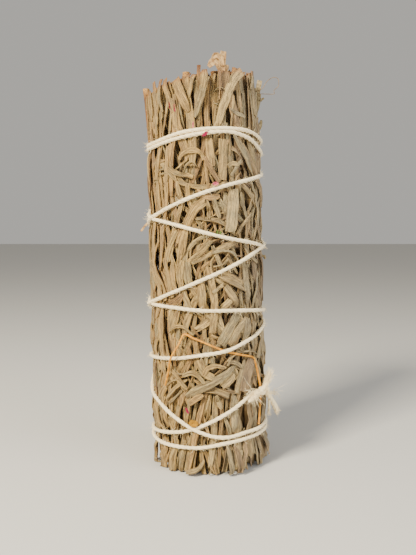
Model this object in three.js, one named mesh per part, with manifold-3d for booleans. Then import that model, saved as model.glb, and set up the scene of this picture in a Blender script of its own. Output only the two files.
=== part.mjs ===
// A hand-tied bundle of dried white sage that stands on its cut ends.
//
// Millimetres, +Z up. The origin is the middle of the base, and -Y is the front.
// A place on the bundle is a turn in degrees, a radius and a height: turn 0 is +X,
// 90 is -Y, 180 is -X and 270 is +Y. The bundle leans a little towards -X, and its
// places lean with it.
//
// Eight leafy sprigs stand side by side round a leafy heart. Each has its woody stem
// in a hole down its middle. One length of cotton string holds them: it is knotted
// near the foot, climbs in five turns, and comes down across itself to the same knot.

import * as THREE from "three";
import { mergeVertices } from "three/addons/utils/BufferGeometryUtils.js";
import Module from "manifold-3d";

const wasm = await Module();
wasm.setup();

// ---- driving dimensions ----

const leafReach = 18.8; // outermost leaf surface
const coreRadius = 16.0; // packed leaves behind the ones that show
const heartRadius = 6.0; // packed leaves in the middle
const standingHeight = 126; // cut tops, on the axis
const leanDegrees = 1.35;
const sprigCount = 8;
const fit = 0.3; // clear gap between pieces that touch
const seam = 0.55; // from a leaf's edge to the side of its sprig

const bladeThickness = 0.7;
const coreFoot = 1.6; // the packed leaves stop short of the cut ends
const coreHead = 5.5;

const stringRadius = 0.75;
const stringPath = 20.3; // radius that the string's middle line follows
const stringSides = 5;
const stepsPerTurn = 15;

const stemSides = 6;

const degree = Math.PI / 180;
const leafCircle = leafReach * degree; // millimetres round the leaves for a degree

// ---- small tools ----

function seededRandom(seed) {
  let state = seed;
  return () => {
    state = (state + 0x6d2b79f5) | 0;
    let mixed = Math.imul(state ^ (state >>> 15), 1 | state);
    mixed = (mixed + Math.imul(mixed ^ (mixed >>> 7), 61 | mixed)) ^ mixed;
    return ((mixed ^ (mixed >>> 14)) >>> 0) / 4294967296;
  };
}

const between = (random, low, high) => low + (high - low) * random();
const clamp = THREE.MathUtils.clamp;
const axisX = (z) => -Math.tan(leanDegrees * degree) * z;

function place(turn, radius, z) {
  const angle = turn * degree;
  return new THREE.Vector3(axisX(z) + radius * Math.cos(angle), -radius * Math.sin(angle), z);
}

// The cut across the tops is highest on the +X side.
const topHeight = (x) => standingHeight + 0.145 * x - 0.0048 * x * x;

// A closed mesh over rings of corners. Most sides are split along one diagonal, and the
// turned ones along the other, so that faces which lie back to back are split alike.
function loft(rings, turned = rings[0].length === 4 ? [2] : []) {
  const sides = rings[0].length;
  const positions = rings.flat().flatMap((corner) => corner.toArray());
  const faces = [];
  for (let ring = 0; ring + 1 < rings.length; ring += 1) {
    for (let side = 0; side < sides; side += 1) {
      const a = ring * sides + side;
      const b = ring * sides + ((side + 1) % sides);
      const c = b + sides;
      const d = a + sides;
      faces.push(...(turned.includes(side) ? [a, b, d, b, c, d] : [a, b, c, a, c, d]));
    }
  }
  const last = (rings.length - 1) * sides;
  for (let side = 1; side + 1 < sides; side += 1) {
    faces.push(0, side + 1, side);
    faces.push(last, last + side, last + side + 1);
  }
  const geometry = new THREE.BufferGeometry();
  geometry.setAttribute("position", new THREE.Float32BufferAttribute(positions, 3));
  geometry.setIndex(faces);
  return geometry;
}

function signedVolume(corners, faces) {
  const [a, b, c] = [new THREE.Vector3(), new THREE.Vector3(), new THREE.Vector3()];
  let sum = 0;
  for (let i = 0; i < faces.length; i += 3) {
    a.fromArray(corners, 3 * faces[i]);
    b.fromArray(corners, 3 * faces[i + 1]);
    c.fromArray(corners, 3 * faces[i + 2]);
    sum += a.dot(b.cross(c));
  }
  return sum / 6;
}

function toSolid(geometry) {
  const bare = geometry.clone();
  bare.deleteAttribute("normal");
  bare.deleteAttribute("uv");
  const merged = mergeVertices(bare, 1e-4);
  const corners = merged.attributes.position.array;
  const faces = Uint32Array.from(merged.index.array);
  if (signedVolume(corners, faces) < 0) faces.reverse();
  return new wasm.Manifold(
    new wasm.Mesh({ numProp: 3, vertProperties: corners, triVerts: faces }),
  );
}

function toMesh(name, solid, material) {
  const { vertProperties, triVerts } = solid.getMesh();
  const geometry = new THREE.BufferGeometry();
  geometry.setAttribute("position", new THREE.BufferAttribute(vertProperties, 3));
  geometry.setIndex(new THREE.BufferAttribute(triVerts, 1));
  const flat = geometry.toNonIndexed();
  flat.computeVertexNormals();
  const mesh = new THREE.Mesh(flat, material);
  mesh.name = name;
  return mesh;
}

const loftSolid = (rings, turned) => toSolid(loft(rings, turned));
const joined = (solids) => solids.reduce((sum, solid) => sum.add(solid));

// The largest body of a solid: a scrap that a cut leaves loose is dropped.
function largestBody(solid) {
  return solid.decompose().reduce((most, body) => (body.volume() > most.volume() ? body : most));
}

// A round tube over [centre, radius] points. Its sections face along the line.
function tubeRings(points, sides) {
  const centres = points.map((point) => point.centre);
  return points.map(({ centre, radius }, i) => {
    const ahead = centres[Math.min(i + 1, centres.length - 1)].clone();
    const along = ahead.sub(centres[Math.max(i - 1, 0)]).normalize();
    const outward = new THREE.Vector3(centre.x - axisX(centre.z), centre.y, 0).normalize();
    const up = outward.lengthSq() > 0.5 ? outward : new THREE.Vector3(1, 0, 0);
    up.addScaledVector(along, -up.dot(along)).normalize();
    const across = new THREE.Vector3().crossVectors(along, up);
    return Array.from({ length: sides }, (_, side) => {
      const angle = (side / sides) * 2 * Math.PI;
      const corner = centre.clone().addScaledVector(up, radius * Math.cos(angle));
      return corner.addScaledVector(across, radius * Math.sin(angle));
    });
  });
}

// ---- materials ----

const finish = (color, roughness) =>
  new THREE.MeshStandardMaterial({ color, roughness, metalness: 0, flatShading: true });

const sageLeaf = finish(0xb3a585, 0.95);
const innerLeaf = finish(0x9a8a68, 0.95);
const wood = finish(0x8a5f3a, 0.85);
const cotton = finish(0xeae2d2, 0.9);
const straw = finish(0xc98a3c, 0.7);
const yellowPetal = finish(0xd9a012, 0.8);
const pinkPetal = finish(0xb92a5c, 0.8);

// ---- one sprig's share of the bundle ----

// The seam between two sprigs waves as it climbs.
const seamTurn = (index, z) =>
  (360 / sprigCount) * index + 7.5 * Math.sin(z / 12 + 1.9 * (index % sprigCount));
const shareTurn = (sprig, share, z) =>
  THREE.MathUtils.lerp(seamTurn(sprig, z), seamTurn(sprig + 1, z), share);
const shareWidth = (sprig, z) => (seamTurn(sprig + 1, z) - seamTurn(sprig, z)) * leafCircle;

// A flat leaf along a line of stations. share runs from 0 to 1 across the sprig.
function leafBlade(sprig, stations) {
  const rings = stations.map((station, i) => {
    const back = stations[Math.max(i - 1, 0)];
    const ahead = stations[Math.min(i + 1, stations.length - 1)];
    const widthHere = shareWidth(sprig, station.z);
    const run = (shareTurn(sprig, ahead.share, ahead.z) - shareTurn(sprig, back.share, back.z)) * leafCircle;
    const heading = Math.atan2(run, ahead.z - back.z);
    const half = station.width / 2;
    const corner = (side, radius) => {
      const z = station.z - side * half * Math.sin(heading);
      const room = seam / widthHere;
      const share = station.share + (side * half * Math.cos(heading)) / widthHere;
      return place(shareTurn(sprig, clamp(share, room, 1 - room), z), radius, z);
    };
    const outer = Math.min(station.radius + bladeThickness, leafReach);
    return [
      corner(-1, outer - bladeThickness),
      corner(1, outer - bladeThickness),
      corner(1, outer),
      corner(-1, outer),
    ];
  });
  return loftSolid(rings);
}

// ---- leaves that lie lengthwise, in three columns of overlapping strips ----

const columns = 3;
const stripsPerColumn = 4;
const stripOverlap = 1.2; // a strip's length over the climb to the next one
const stripPlaces = [0, 0.16, 0.62, 1]; // stations along a strip, from root to tip
const stripWidths = [0.6, 1, 0.86, 0.36]; // of the full width
const stripLift = [-1.6, 0.3, 0.7, 1.2]; // of the inner face, over the core
const footLift = -0.35; // of the strips that stand on the floor

function lengthwiseLeaves(sprig, random) {
  const leaves = [];
  for (let column = 0; column < columns; column += 1) {
    const foot = between(random, 0, 1.3);
    const head = topHeight(place(shareTurn(sprig, (column + 0.5) / columns, 120), leafReach, 120).x)
      - between(random, 0, 2.2);
    const climb = (head - foot) / (stripsPerColumn - 1 + stripOverlap);
    for (let strip = 0; strip < stripsPerColumn; strip += 1) {
      const first = strip === 0;
      const last = strip === stripsPerColumn - 1;
      const start = foot + strip * climb + (first ? 0 : between(random, -2.5, 2.5));
      const end = last ? head : foot + (strip + stripOverlap) * climb;
      const share = (column + 0.5) / columns + between(random, -0.02, 0.02);
      const slant = between(random, -0.1, 0.1);
      const width = between(random, 3.0, 4.1);
      const rise = between(random, 0, 0.75);
      const tipDown = !first && !last && random() < 0.25;
      const stations = stripPlaces.map((_, i) => {
        const order = tipDown ? stripWidths.length - 1 - i : i;
        const along = tipDown ? 1 - stripPlaces[order] : stripPlaces[i];
        const cutEnd = (last && i === 3) || (first && i === 0);
        return {
          z: THREE.MathUtils.lerp(start, end, along),
          share: share + slant * (along - 0.5),
          width: width * (cutEnd ? 0.8 : stripWidths[order]),
          radius: coreRadius + (order > 0 ? stripLift[order] + rise : first ? footLift : stripLift[0]),
        };
      });
      leaves.push(leafBlade(sprig, stations));
    }
  }
  return leaves;
}

// ---- leaves that lie across the others, each held by its root ----

const crossingPerSprig = 6;
const crossingPlaces = [0, 0.42, 1];
const crossingWidths = [0.6, 1, 0.35];
const crossingLift = [-0.2, 2.05, 2.1];

function crossingLeaves(sprig, random) {
  const leaves = [];
  for (let count = 0; count < crossingPerSprig; count += 1) {
    const middle = 12 + ((count + between(random, 0.2, 0.8)) * (standingHeight - 26)) / crossingPerSprig;
    const heading = (random() < 0.5 ? -1 : 1) * between(random, 12, 62) * degree;
    const length = between(random, 10, 17);
    const width = between(random, 2.0, 3.2);
    const bow = between(random, -0.12, 0.12);
    const wide = shareWidth(sprig, middle);
    const room = (seam + (width / 2) * Math.cos(heading)) / wide;
    const reach = Math.min(0.5 - room, (length * Math.abs(Math.sin(heading))) / wide / 2);
    const centre = between(random, room + reach, 1 - room - reach);
    const stations = crossingWidths.map((portion, i) => {
      const along = crossingPlaces[i] - 0.5;
      const share = centre + 2 * Math.sign(heading) * reach * along + bow * (0.25 - along * along);
      return {
        z: middle + length * Math.cos(heading) * along,
        share: clamp(share, room, 1 - room),
        width: width * portion,
        radius: coreRadius + crossingLift[i],
      };
    });
    leaves.push(leafBlade(sprig, stations));
  }
  return leaves;
}

// ---- cut leaf ends that stand in the two end faces ----

function endStrip(turnAt, radius, foot, head, half, twist) {
  const middle = (z) => place(turnAt(z), radius, z);
  const angle = -(turnAt(foot) + 90) * degree + twist; // along the wall of a turn, then twisted
  const along = new THREE.Vector3(Math.cos(angle), Math.sin(angle), 0);
  const through = new THREE.Vector3(-Math.sin(angle), Math.cos(angle), 0);
  const ring = (z) =>
    [[-1, -1], [1, -1], [1, 1], [-1, 1]].map(([a, t]) =>
      middle(z)
        .addScaledVector(along, a * half)
        .addScaledVector(through, (t * bladeThickness) / 2),
    );
  return loftSolid([ring(foot), ring(head)]);
}

const topStrips = 6;
const footStrips = 4;
const endStripSink = 3;

function endStrips(sprig, random, core) {
  const strips = [];
  for (const atTop of [true, false]) {
    const total = atTop ? topStrips : footStrips;
    for (let count = 0; count < total; count += 1) {
      const ringShare = (count + 0.5) / total;
      const radius = 8.6 + 6.6 * Math.sqrt(ringShare);
      const z = atTop ? core.head : core.foot;
      const wide = (shareWidth(sprig, z) * radius) / leafReach;
      const half = Math.min(between(random, 1.2, 2.0), wide / 2 - 1.1);
      const room = (half + 0.9) / wide;
      const share = between(random, room, 1 - room);
      const turnAt = (level) => shareTurn(sprig, share, level);
      const twist = between(random, -0.35, 0.35);
      const x = place(turnAt(z), radius, z).x;
      const cut = atTop ? topHeight(x) - between(random, 0.4, 3.2) : between(random, 0, 1) ** 2;
      const [foot, head] = atTop ? [z - endStripSink, cut] : [cut < 0.25 ? 0 : cut, z + endStripSink];
      strips.push(endStrip(turnAt, radius, foot, head, half, twist));
    }
  }
  return strips;
}

// ---- stems ----

// A stem wanders a little and thins as it climbs.
function stemLine(turnAt, radius, thickness, foot, head, phase) {
  const count = 5;
  return Array.from({ length: count }, (_, i) => {
    const along = i / (count - 1);
    const z = THREE.MathUtils.lerp(foot, head, along);
    const sway = 0.5 * Math.sin(5.3 * along + phase);
    return { centre: place(turnAt(z), radius + sway, z), radius: thickness * (1 - 0.3 * along) };
  });
}

const grown = (line, by) => line.map(({ centre, radius }) => ({ centre, radius: radius + by }));

function stretched(line, by) {
  const longer = line.map(({ centre, radius }) => ({ centre: centre.clone(), radius }));
  longer[0].centre.addScaledVector(longer[1].centre.clone().sub(longer[0].centre).normalize(), -by);
  const end = longer.length - 1;
  const outward = longer[end].centre.clone().sub(longer[end - 1].centre).normalize();
  longer[end].centre.addScaledVector(outward, by);
  return longer;
}

const stemSolid = (line) => loftSolid(tubeRings(line, stemSides));
const stemHole = (line) => loftSolid(tubeRings(stretched(grown(line, 1.4 * fit), 8), stemSides));

const stemFoot = 0.4;
const stemHeads = [1.5, 0.4, 2.6, 0.8, 0.5, 1.0, 0.2, 1.2]; // over the cut, sprig by sprig
const stemThickness = [1.5, 1.25, 1.6, 1.3, 1.45, 1.2, 1.55, 1.35];

function sprigStem(sprig) {
  const x = place(shareTurn(sprig, 0.5, 120), 12, 120).x;
  const head = topHeight(x) - 1 + stemHeads[sprig];
  return stemLine((z) => shareTurn(sprig, 0.5, z), 12, stemThickness[sprig], stemFoot, head, sprig);
}

// A bare side stem lies in the leaves at the upper left, its cut end at the top.
const sideStem = [
  { centre: place(171, 17.1, 97), radius: 0.75 },
  { centre: place(171, 17.5, 104), radius: 0.9 },
  { centre: place(171, 18.0, 112), radius: 0.95 },
  { centre: place(171, 18.7, 122.6), radius: 1.05 },
];

// ---- a sprig's leaves ----

// Neighbours have the same levels, all but the top one, and sides split alike.
function coreWedge(sprig, foot, head) {
  const levels = 10;
  const climb = (standingHeight - coreHead - foot) / levels;
  const innerTurns = [0, 0.5, 1];
  const outerTurns = [1, 0.67, 0.33, 0];
  const rings = Array.from({ length: levels + 1 }, (_, level) => {
    const z = level === levels ? head : foot + level * climb;
    const corner = (share, radius) => {
      const width = (shareWidth(sprig, z) * radius) / leafReach;
      const room = (fit / 2 + 0.08) / width;
      return place(shareTurn(sprig, clamp(share, room, 1 - room), z), radius, z);
    };
    return [
      ...innerTurns.map((share) => corner(share, heartRadius + fit + 0.25)),
      ...outerTurns.map((share) => corner(share, coreRadius)),
    ];
  });
  return loftSolid(rings, [6]);
}

function sprigLeaves(sprig) {
  const random = seededRandom(101 + 17 * sprig);
  const middleX = place(shareTurn(sprig, 0.5, 120), 12, 120).x;
  const core = { foot: coreFoot, head: topHeight(middleX) - coreHead };
  const leaves = [
    coreWedge(sprig, core.foot, core.head),
    ...lengthwiseLeaves(sprig, random),
    ...crossingLeaves(sprig, random),
    ...endStrips(sprig, random, core),
  ];
  if (sprig === driedTipSprig) leaves.push(...driedTip());
  const holes = [stemHole(sprigStem(sprig)), stemHole(sideStem)];
  return largestBody(holes.reduce((mass, hole) => mass.subtract(hole), joined(leaves)));
}

// ---- a dried, curled leaf tip that stands over the cut tops ----

const driedTipSprig = 1;

function driedTip() {
  const stalk = [[70, 17.6, 118, 2.2], [69, 17.9, 124.5, 1.9], [68.5, 18.0, 128, 3.0], [67, 18.3, 131.5, 0.9]];
  const curl = [[69, 17.6, 125.5, 1.2], [74, 17.8, 127.4, 2.6], [81, 18.0, 127.8, 1.4]];
  return [stalk, curl].map((line) =>
    loftSolid(
      line.map(([turn, radius, z, width]) => {
        const half = width / 2 / leafCircle;
        return [
          place(turn - half, radius, z),
          place(turn + half, radius, z),
          place(turn + half, radius + bladeThickness, z + 0.15),
          place(turn - half, radius + bladeThickness, z + 0.15),
        ];
      }),
    ),
  );
}

// ---- the heart ----

const heartStrips = 9;
const heartStemLine = stemLine(() => 215, 3.4, 1.4, stemFoot, standingHeight - 0.5, 2);

function heartLeaves() {
  const random = seededRandom(77);
  const head = standingHeight - coreHead;
  const wall = (z) => Array.from({ length: 12 }, (_, i) => place(-30 * i, heartRadius, z));
  const strips = [];
  for (let count = 0; count < heartStrips; count += 1) {
    const turn = 137.5 * count;
    const radius = 4.7 * Math.sqrt((count + 0.5) / heartStrips);
    const cut = topHeight(axisX(standingHeight)) - between(random, 0.6, 3);
    const twist = between(random, -0.9, 0.9);
    const half = Math.min(between(random, 0.9, 1.5), 5.4 - radius);
    strips.push(endStrip(() => turn, radius, head - endStripSink, cut, half, twist));
  }
  return largestBody(joined([loftSolid([wall(0), wall(head)]), ...strips]).subtract(stemHole(heartStemLine)));
}

// ---- the dry grass stalk caught under the string ----

const stalkRadius = 0.35;
const stalkRest = leafReach + fit + 0.05 + stalkRadius;
const stalkRoute = [
  // turn, height, lift over the leaves
  [138, 27.5, 0.1],
  [131, 32.6, 0.7],
  [124, 37.3, 2.3],
  [118, 41.6, 0.9],
  [113.5, 44.6, 0.1],
  [105, 43.6, 0],
  [97, 42.6, 0],
  [85, 40.9, 0],
  [75, 39.5, 0],
  [60.5, 38.1, 0],
  [43.5, 36.6, 0],
  [39.5, 34.4, 0],
  [34.5, 29.5, 0],
  [31.5, 25.3, 0],
  [35, 20.7, 0],
  [38.5, 15.9, 0],
];
const stalkUnderString = stalkRoute.slice(4);
const stalkLine = stalkRoute.map(([turn, z, lift]) => ({
  centre: place(turn, stalkRest + lift, z),
  radius: stalkRadius,
}));

// ---- the string ----

const stringRoute = [
  // turn from the knot, height
  [37, 25.4], [52, 23.5], [69, 20.5], [90, 17.0], [107, 14.5], [139, 12.1], [174, 10.9],
  [225, 10.8], [270, 11.0], [315, 11.4], [360, 11.6],
  [376, 11.4], [418, 10.7], [440, 9.9], [459, 8.8], [478, 8.4], [503, 8.3], [535, 9.1],
  [585, 10.6], [630, 12.2], [680, 13.2], [720, 13.4],
  [737, 13.3], [772, 12.8], [800, 12.0], [811, 12.6], [821, 13.8], [836, 16.0], [849, 18.3], [866, 21.4],
  [884, 23.8], [900, 27.0], [945, 36.0], [990, 43.5], [1035, 47.5], [1080, 50.2],
  [1096, 50.7], [1149, 52.0], [1175, 52.1], [1205, 52.8], [1238, 53.3],
  [1260, 54.4], [1305, 59.0], [1350, 64.0], [1395, 68.0], [1440, 71.0],
  [1464, 72.0], [1478, 72.8], [1512, 74.7], [1543, 77.2], [1568, 79.3], [1592, 80.8],
  [1620, 83.2], [1665, 88.5], [1710, 94.0], [1755, 98.6], [1800, 101.6],
  [1819, 102.6], [1845, 105.8], [1862, 107.0], [1890, 106.5], [1918, 105.4], [1949, 103.8],
  [1980, 101.8], [2025, 102.0], [2070, 103.2], [2115, 104.7], [2160, 105.6],
  [2180, 106.4], [2205, 107.9], [2222, 108.1], [2250, 107.5], [2278, 106.4], [2308, 104.8],
  [2340, 103.0], [2385, 100.2], [2430, 98.4], [2475, 97.2], [2520, 96.0],
  [2540, 94.7], [2563, 92.9], [2586, 91.1], [2616, 88.0], [2647, 84.1], [2672, 80.9],
  [2700, 78.5], [2745, 76.2], [2790, 75.2], [2835, 74.6], [2880, 73.4],
  [2904, 71.6], [2936, 67.3], [2965, 63.1], [3004, 57.6], [3038, 53.4],
  [3060, 51.6], [3105, 49.2], [3150, 48.0], [3195, 47.4], [3240, 46.8],
  [3257, 45.8], [3289, 42.2], [3315, 39.5], [3338, 38.1], [3361, 36.8], [3398, 35.6],
  [3420, 35.2], [3465, 33.2], [3510, 31.0], [3555, 28.8], [3600, 26.9], [3630, 25.6],
];

// Height at a turn, on a smooth line through the route's points.
const routeCurve = new THREE.CatmullRomCurve3(
  stringRoute.map(([turn, z]) => new THREE.Vector3(turn, z, 0)), false, "centripetal",
);
const routeTable = routeCurve.getPoints(stringRoute.length * 12);

function stringHeight(turn) {
  const next = routeTable.findIndex((point) => point.x >= turn);
  if (next <= 0) return routeTable.at(next < 0 ? -1 : 0).y;
  const [a, b] = [routeTable[next - 1], routeTable[next]];
  return THREE.MathUtils.lerp(a.y, b.y, (turn - a.x) / (b.x - a.x));
}

// How far a string at a distance across from what lies under it is lifted.
const hump = (distance, height, spread) =>
  height * (1 - THREE.MathUtils.smoothstep(Math.abs(distance), 0.25, spread));

// A strand rides over each strand that was wound before it, and over the stalk.
function stringLift(turn, firstTurn) {
  const z = stringHeight(turn);
  let lift = 0;
  for (let under = turn - 360; under >= firstTurn; under -= 360) {
    lift = Math.max(lift, hump(z - stringHeight(under), 2 * stringRadius + 0.15, 2.6));
  }
  const here = ((turn % 360) + 360) % 360;
  for (let i = 0; i + 1 < stalkUnderString.length; i += 1) {
    const [from, to] = [stalkUnderString[i], stalkUnderString[i + 1]];
    for (const part of [0, 0.25, 0.5, 0.75, 1]) {
      const across = (THREE.MathUtils.lerp(from[0], to[0], part) - here) * leafCircle;
      const distance = Math.hypot(across, THREE.MathUtils.lerp(from[1], to[1], part) - z);
      lift = Math.max(lift, hump(distance, 0.9, 7));
    }
  }
  return lift;
}

function windings() {
  const firstTurn = stringRoute[0][0];
  const lastTurn = stringRoute.at(-1)[0];
  const count = Math.round(((lastTurn - firstTurn) * stepsPerTurn) / 360);
  const line = Array.from({ length: count + 1 }, (_, i) => {
    const turn = THREE.MathUtils.lerp(firstTurn, lastTurn, i / count);
    const lift = stringLift(turn, firstTurn);
    return { centre: place(turn, stringPath + lift, stringHeight(turn)), radius: stringRadius };
  });
  const rings = tubeRings(line, stringSides);
  const pieces = [];
  for (let start = 0; start < count; start += stepsPerTurn) {
    pieces.push(loftSolid(rings.slice(start, Math.min(start + stepsPerTurn + 1, count + 1))));
  }
  return pieces;
}

// The two ends meet in a square knot, drawn as two small interlocked loops.
const knotTurn = 33;
const knotHeight = 25.5;
const knotRadius = 21.8;

function knotLoops() {
  return [[-0.8, 0.5, 0.45], [0.9, -0.2, -0.5]].map(([across, up, tilt]) => {
    const loop = new THREE.TorusGeometry(1.25, 0.68, 5, 8);
    loop.rotateX(Math.PI / 2 + tilt);
    loop.rotateZ(-knotTurn * degree);
    const centre = place(knotTurn - across / leafCircle, knotRadius, knotHeight + up);
    loop.translate(centre.x, centre.y, centre.z);
    return toSolid(loop);
  });
}

// Cut ends of the string: one up along the leaves, one out, one down, a tuft to the left, and a
// frayed strand that reaches out to the right.
const tails = [
  [[30, 21.9, 26.0, 0.8], [22, 21.6, 27.6, 0.9], [18, 21.6, 29.2, 0.8], [15, 21.6, 30.8, 0.3]],
  [[28, 21.9, 25.4, 0.75], [19, 21.9, 22.6, 0.85], [13, 22.3, 19.4, 0.9], [10, 22.5, 16.8, 0.85]],
  [[26, 21.7, 25.0, 0.7], [20, 21.2, 21.6, 0.6], [18.5, 20.8, 16.8, 0.4]],
  [[36, 21.9, 25.6, 0.8], [43, 21.6, 25.8, 1.3], [50, 21.1, 25.2, 0.9]],
  [[22, 21.8, 24.2, 0.6], [12, 22.8, 23.4, 0.5], [5, 24.0, 23.6, 0.4], [2, 25.0, 23.9, 0.3]],
];

function stringSolid() {
  const ends = tails.map((tail) =>
    loftSolid(
      tubeRings(tail.map(([turn, radius, z, thick]) => ({ centre: place(turn, radius, z), radius: thick })), 5),
    ),
  );
  return largestBody(joined([...windings(), ...knotLoops(), ...ends]));
}

// ---- petal scraps that lie on the leaves ----

const petals = [
  // name, turn, height, width, length, tilt, material
  ["petal_yellow", 105.5, 17.8, 2.9, 2.1, 0.25, yellowPetal],
  ["petal_pink_1", 89, 104.2, 1.2, 2.0, -0.7, pinkPetal],
  ["petal_pink_2", 80.5, 92.0, 1.9, 1.2, 0.2, pinkPetal],
  ["petal_pink_3", 112.5, 20.6, 0.8, 1.8, 0.3, pinkPetal],
];
const petalThickness = 0.6;

function petalSolid([, turn, z, width, length, tilt]) {
  const outline = [[-0.5, -0.1], [-0.2, -0.5], [0.4, -0.45], [0.5, 0.15], [0.1, 0.5], [-0.4, 0.35]];
  const inner = leafReach + fit + 0.1;
  const face = (radius) =>
    outline.map(([a, b]) => {
      const across = a * width * Math.cos(tilt) - b * length * Math.sin(tilt);
      const up = a * width * Math.sin(tilt) + b * length * Math.cos(tilt);
      return place(turn + across / leafCircle, radius, z + up);
    });
  return loftSolid([face(inner), face(inner + petalThickness)]);
}

// ---- the bundle ----

const bundle = new THREE.Group();
for (let sprig = 0; sprig < sprigCount; sprig += 1) {
  bundle.add(toMesh(`sprig_${sprig + 1}_leaves`, sprigLeaves(sprig), sageLeaf));
  bundle.add(toMesh(`sprig_${sprig + 1}_stem`, stemSolid(sprigStem(sprig)), wood));
}
bundle.add(toMesh("heart_leaves", heartLeaves(), innerLeaf));
bundle.add(toMesh("heart_stem", stemSolid(heartStemLine), wood));
bundle.add(toMesh("side_stem", stemSolid(sideStem), wood));
bundle.add(toMesh("cotton_string", stringSolid(), cotton));
bundle.add(toMesh("grass_stalk", loftSolid(tubeRings(stalkLine, 5)), straw));
for (const petal of petals) bundle.add(toMesh(petal[0], petalSolid(petal), petal.at(-1)));

export default bundle;
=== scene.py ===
# A bundle of dried white sage that stands on its cut ends, bound criss-cross with cotton string.
# Lengths are in millimetres until a mesh is made. A place on the bundle is a turn in degrees
# (0 is +X, 90 the front, 180 -X and 270 the back), a radius and a height.
import functools
import math

import bmesh
import bpy
import numpy as np
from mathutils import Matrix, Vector


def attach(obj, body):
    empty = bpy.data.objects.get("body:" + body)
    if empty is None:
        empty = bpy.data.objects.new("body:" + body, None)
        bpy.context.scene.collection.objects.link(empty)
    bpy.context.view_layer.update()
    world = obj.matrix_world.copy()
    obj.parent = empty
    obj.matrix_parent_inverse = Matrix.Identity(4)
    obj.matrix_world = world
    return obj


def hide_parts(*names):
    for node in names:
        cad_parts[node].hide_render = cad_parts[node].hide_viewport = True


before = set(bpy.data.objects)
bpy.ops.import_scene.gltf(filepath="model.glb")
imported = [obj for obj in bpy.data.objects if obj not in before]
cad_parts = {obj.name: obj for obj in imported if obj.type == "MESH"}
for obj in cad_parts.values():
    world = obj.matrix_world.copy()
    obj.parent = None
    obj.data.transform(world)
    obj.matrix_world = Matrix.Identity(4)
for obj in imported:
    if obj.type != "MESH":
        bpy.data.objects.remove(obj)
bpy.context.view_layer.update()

mm = 0.001
bundle = {
    "leafReach": 18.8,  # outermost leaves
    "coreRadius": 13.2,  # packed leaves behind the ones that show, painted dark as shade
    "heartRadius": 6.0,
    "standingHeight": 126.0,  # cut tops, on the axis
    "topSlope": 0.145,  # the cut across the tops is highest on the +X side
    "topBow": 0.0048,
    "leanDegrees": 1.35,
    "sprigs": 8,
    "seamWave": {"turn": 7.5, "height": 12, "offset": 1.9},  # the seam between two sprigs waves
}
flare = {  # how much further out than the rest the leaves stand, and the heights it fades between
    "low": 0.45,
    "lowFades": (35, 90),
    "foot": 1.3,
    "footFades": (2, 11),
    "left": 0.7,
    "leftStarts": (5, 16),
    "leftFades": (55, 95),
}
circle = bundle["leafReach"] * math.pi / 180  # millimetres round the leaves for a degree


def axisX(z):
    return -math.tan(math.radians(bundle["leanDegrees"])) * z


def onBundle(turn, radius, z):
    turn, radius, z = np.broadcast_arrays(np.radians(turn), radius, z)
    return np.stack([axisX(z) + radius * np.cos(turn), -radius * np.sin(turn), z], axis=-1)


def reachAt(turn, z):
    # the leaves stand out a little more towards the foot, most of all on the -X side
    left = leftness(turn)
    low = flare["low"] * (1 - smoothstep(z, *flare["lowFades"]))
    low = low + (flare["foot"] - left) * (1 - smoothstep(z, *flare["footFades"]))
    side = flare["left"] * left * smoothstep(z, *flare["leftStarts"])
    return bundle["leafReach"] - 0.1 + low + side * (1 - smoothstep(z, *flare["leftFades"]))


def leftness(turn):  # 1 on the -X side, 0 from the front round to the back
    return np.cos(np.radians(turn)).clip(-1, 0) ** 2


def topHeight(x):
    return bundle["standingHeight"] + bundle["topSlope"] * x - bundle["topBow"] * x * x


def seamTurn(index, z):
    wave, sprigs = bundle["seamWave"], bundle["sprigs"]
    phase = z / wave["height"] + wave["offset"] * (index % sprigs)
    return 360 / sprigs * index + wave["turn"] * np.sin(phase)


def sprigAt(turn, z):
    turn, sprigs = turn % 360, bundle["sprigs"]
    index = int(turn // (360 / sprigs))
    if turn < seamTurn(index, z):
        return (index - 1) % sprigs
    return (index + 1) % sprigs if turn > seamTurn(index + 1, z) else index


def smoothstep(value, low, high):
    share = np.clip((value - low) / (high - low), 0, 1)
    return share * share * (3 - 2 * share)


camera = {
    "place": (-1.3, -233.7, 78.0),
    "pitchDown": 4.13,
    "lens": 45.4,
    "film": 36,
    "picture": (416, 555),  # width and height that its picture points are given in
}


def addCamera():
    place = [value * mm for value in camera["place"]]
    tilt = math.radians(90 - camera["pitchDown"])
    bpy.ops.object.camera_add(location=place, rotation=(tilt, 0, 0))
    bpy.context.object.name = "camera"
    bpy.context.object.data.lens = camera["lens"]
    bpy.context.object.data.clip_start = 0.01
    bpy.context.scene.camera = bpy.context.object


def seenAt(across, down, radius=18.6):
    # turn and height where the camera's ray through a picture point meets the leaves
    width, height = camera["picture"]
    focal = camera["lens"] / camera["film"] * height
    pitch = math.radians(camera["pitchDown"])
    right, rise = (across - width / 2) / focal, (height / 2 - down) / focal
    ray = (right, rise * math.sin(pitch) + math.cos(pitch), rise * math.cos(pitch) - math.sin(pitch))
    place = camera["place"]
    lean = math.tan(math.radians(bundle["leanDegrees"]))
    start, step = place[0] + lean * place[2], ray[0] + lean * ray[2]
    square = step * step + ray[1] ** 2
    half = start * step + place[1] * ray[1]
    inside = max(half * half - square * (start * start + place[1] ** 2 - radius * radius), 0)
    reach = (-half - math.sqrt(inside)) / square
    x, y, z = (origin + reach * part for origin, part in zip(place, ray))
    return math.degrees(math.atan2(-y, x + lean * z)), z


addCamera()
print("camera is set")


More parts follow.
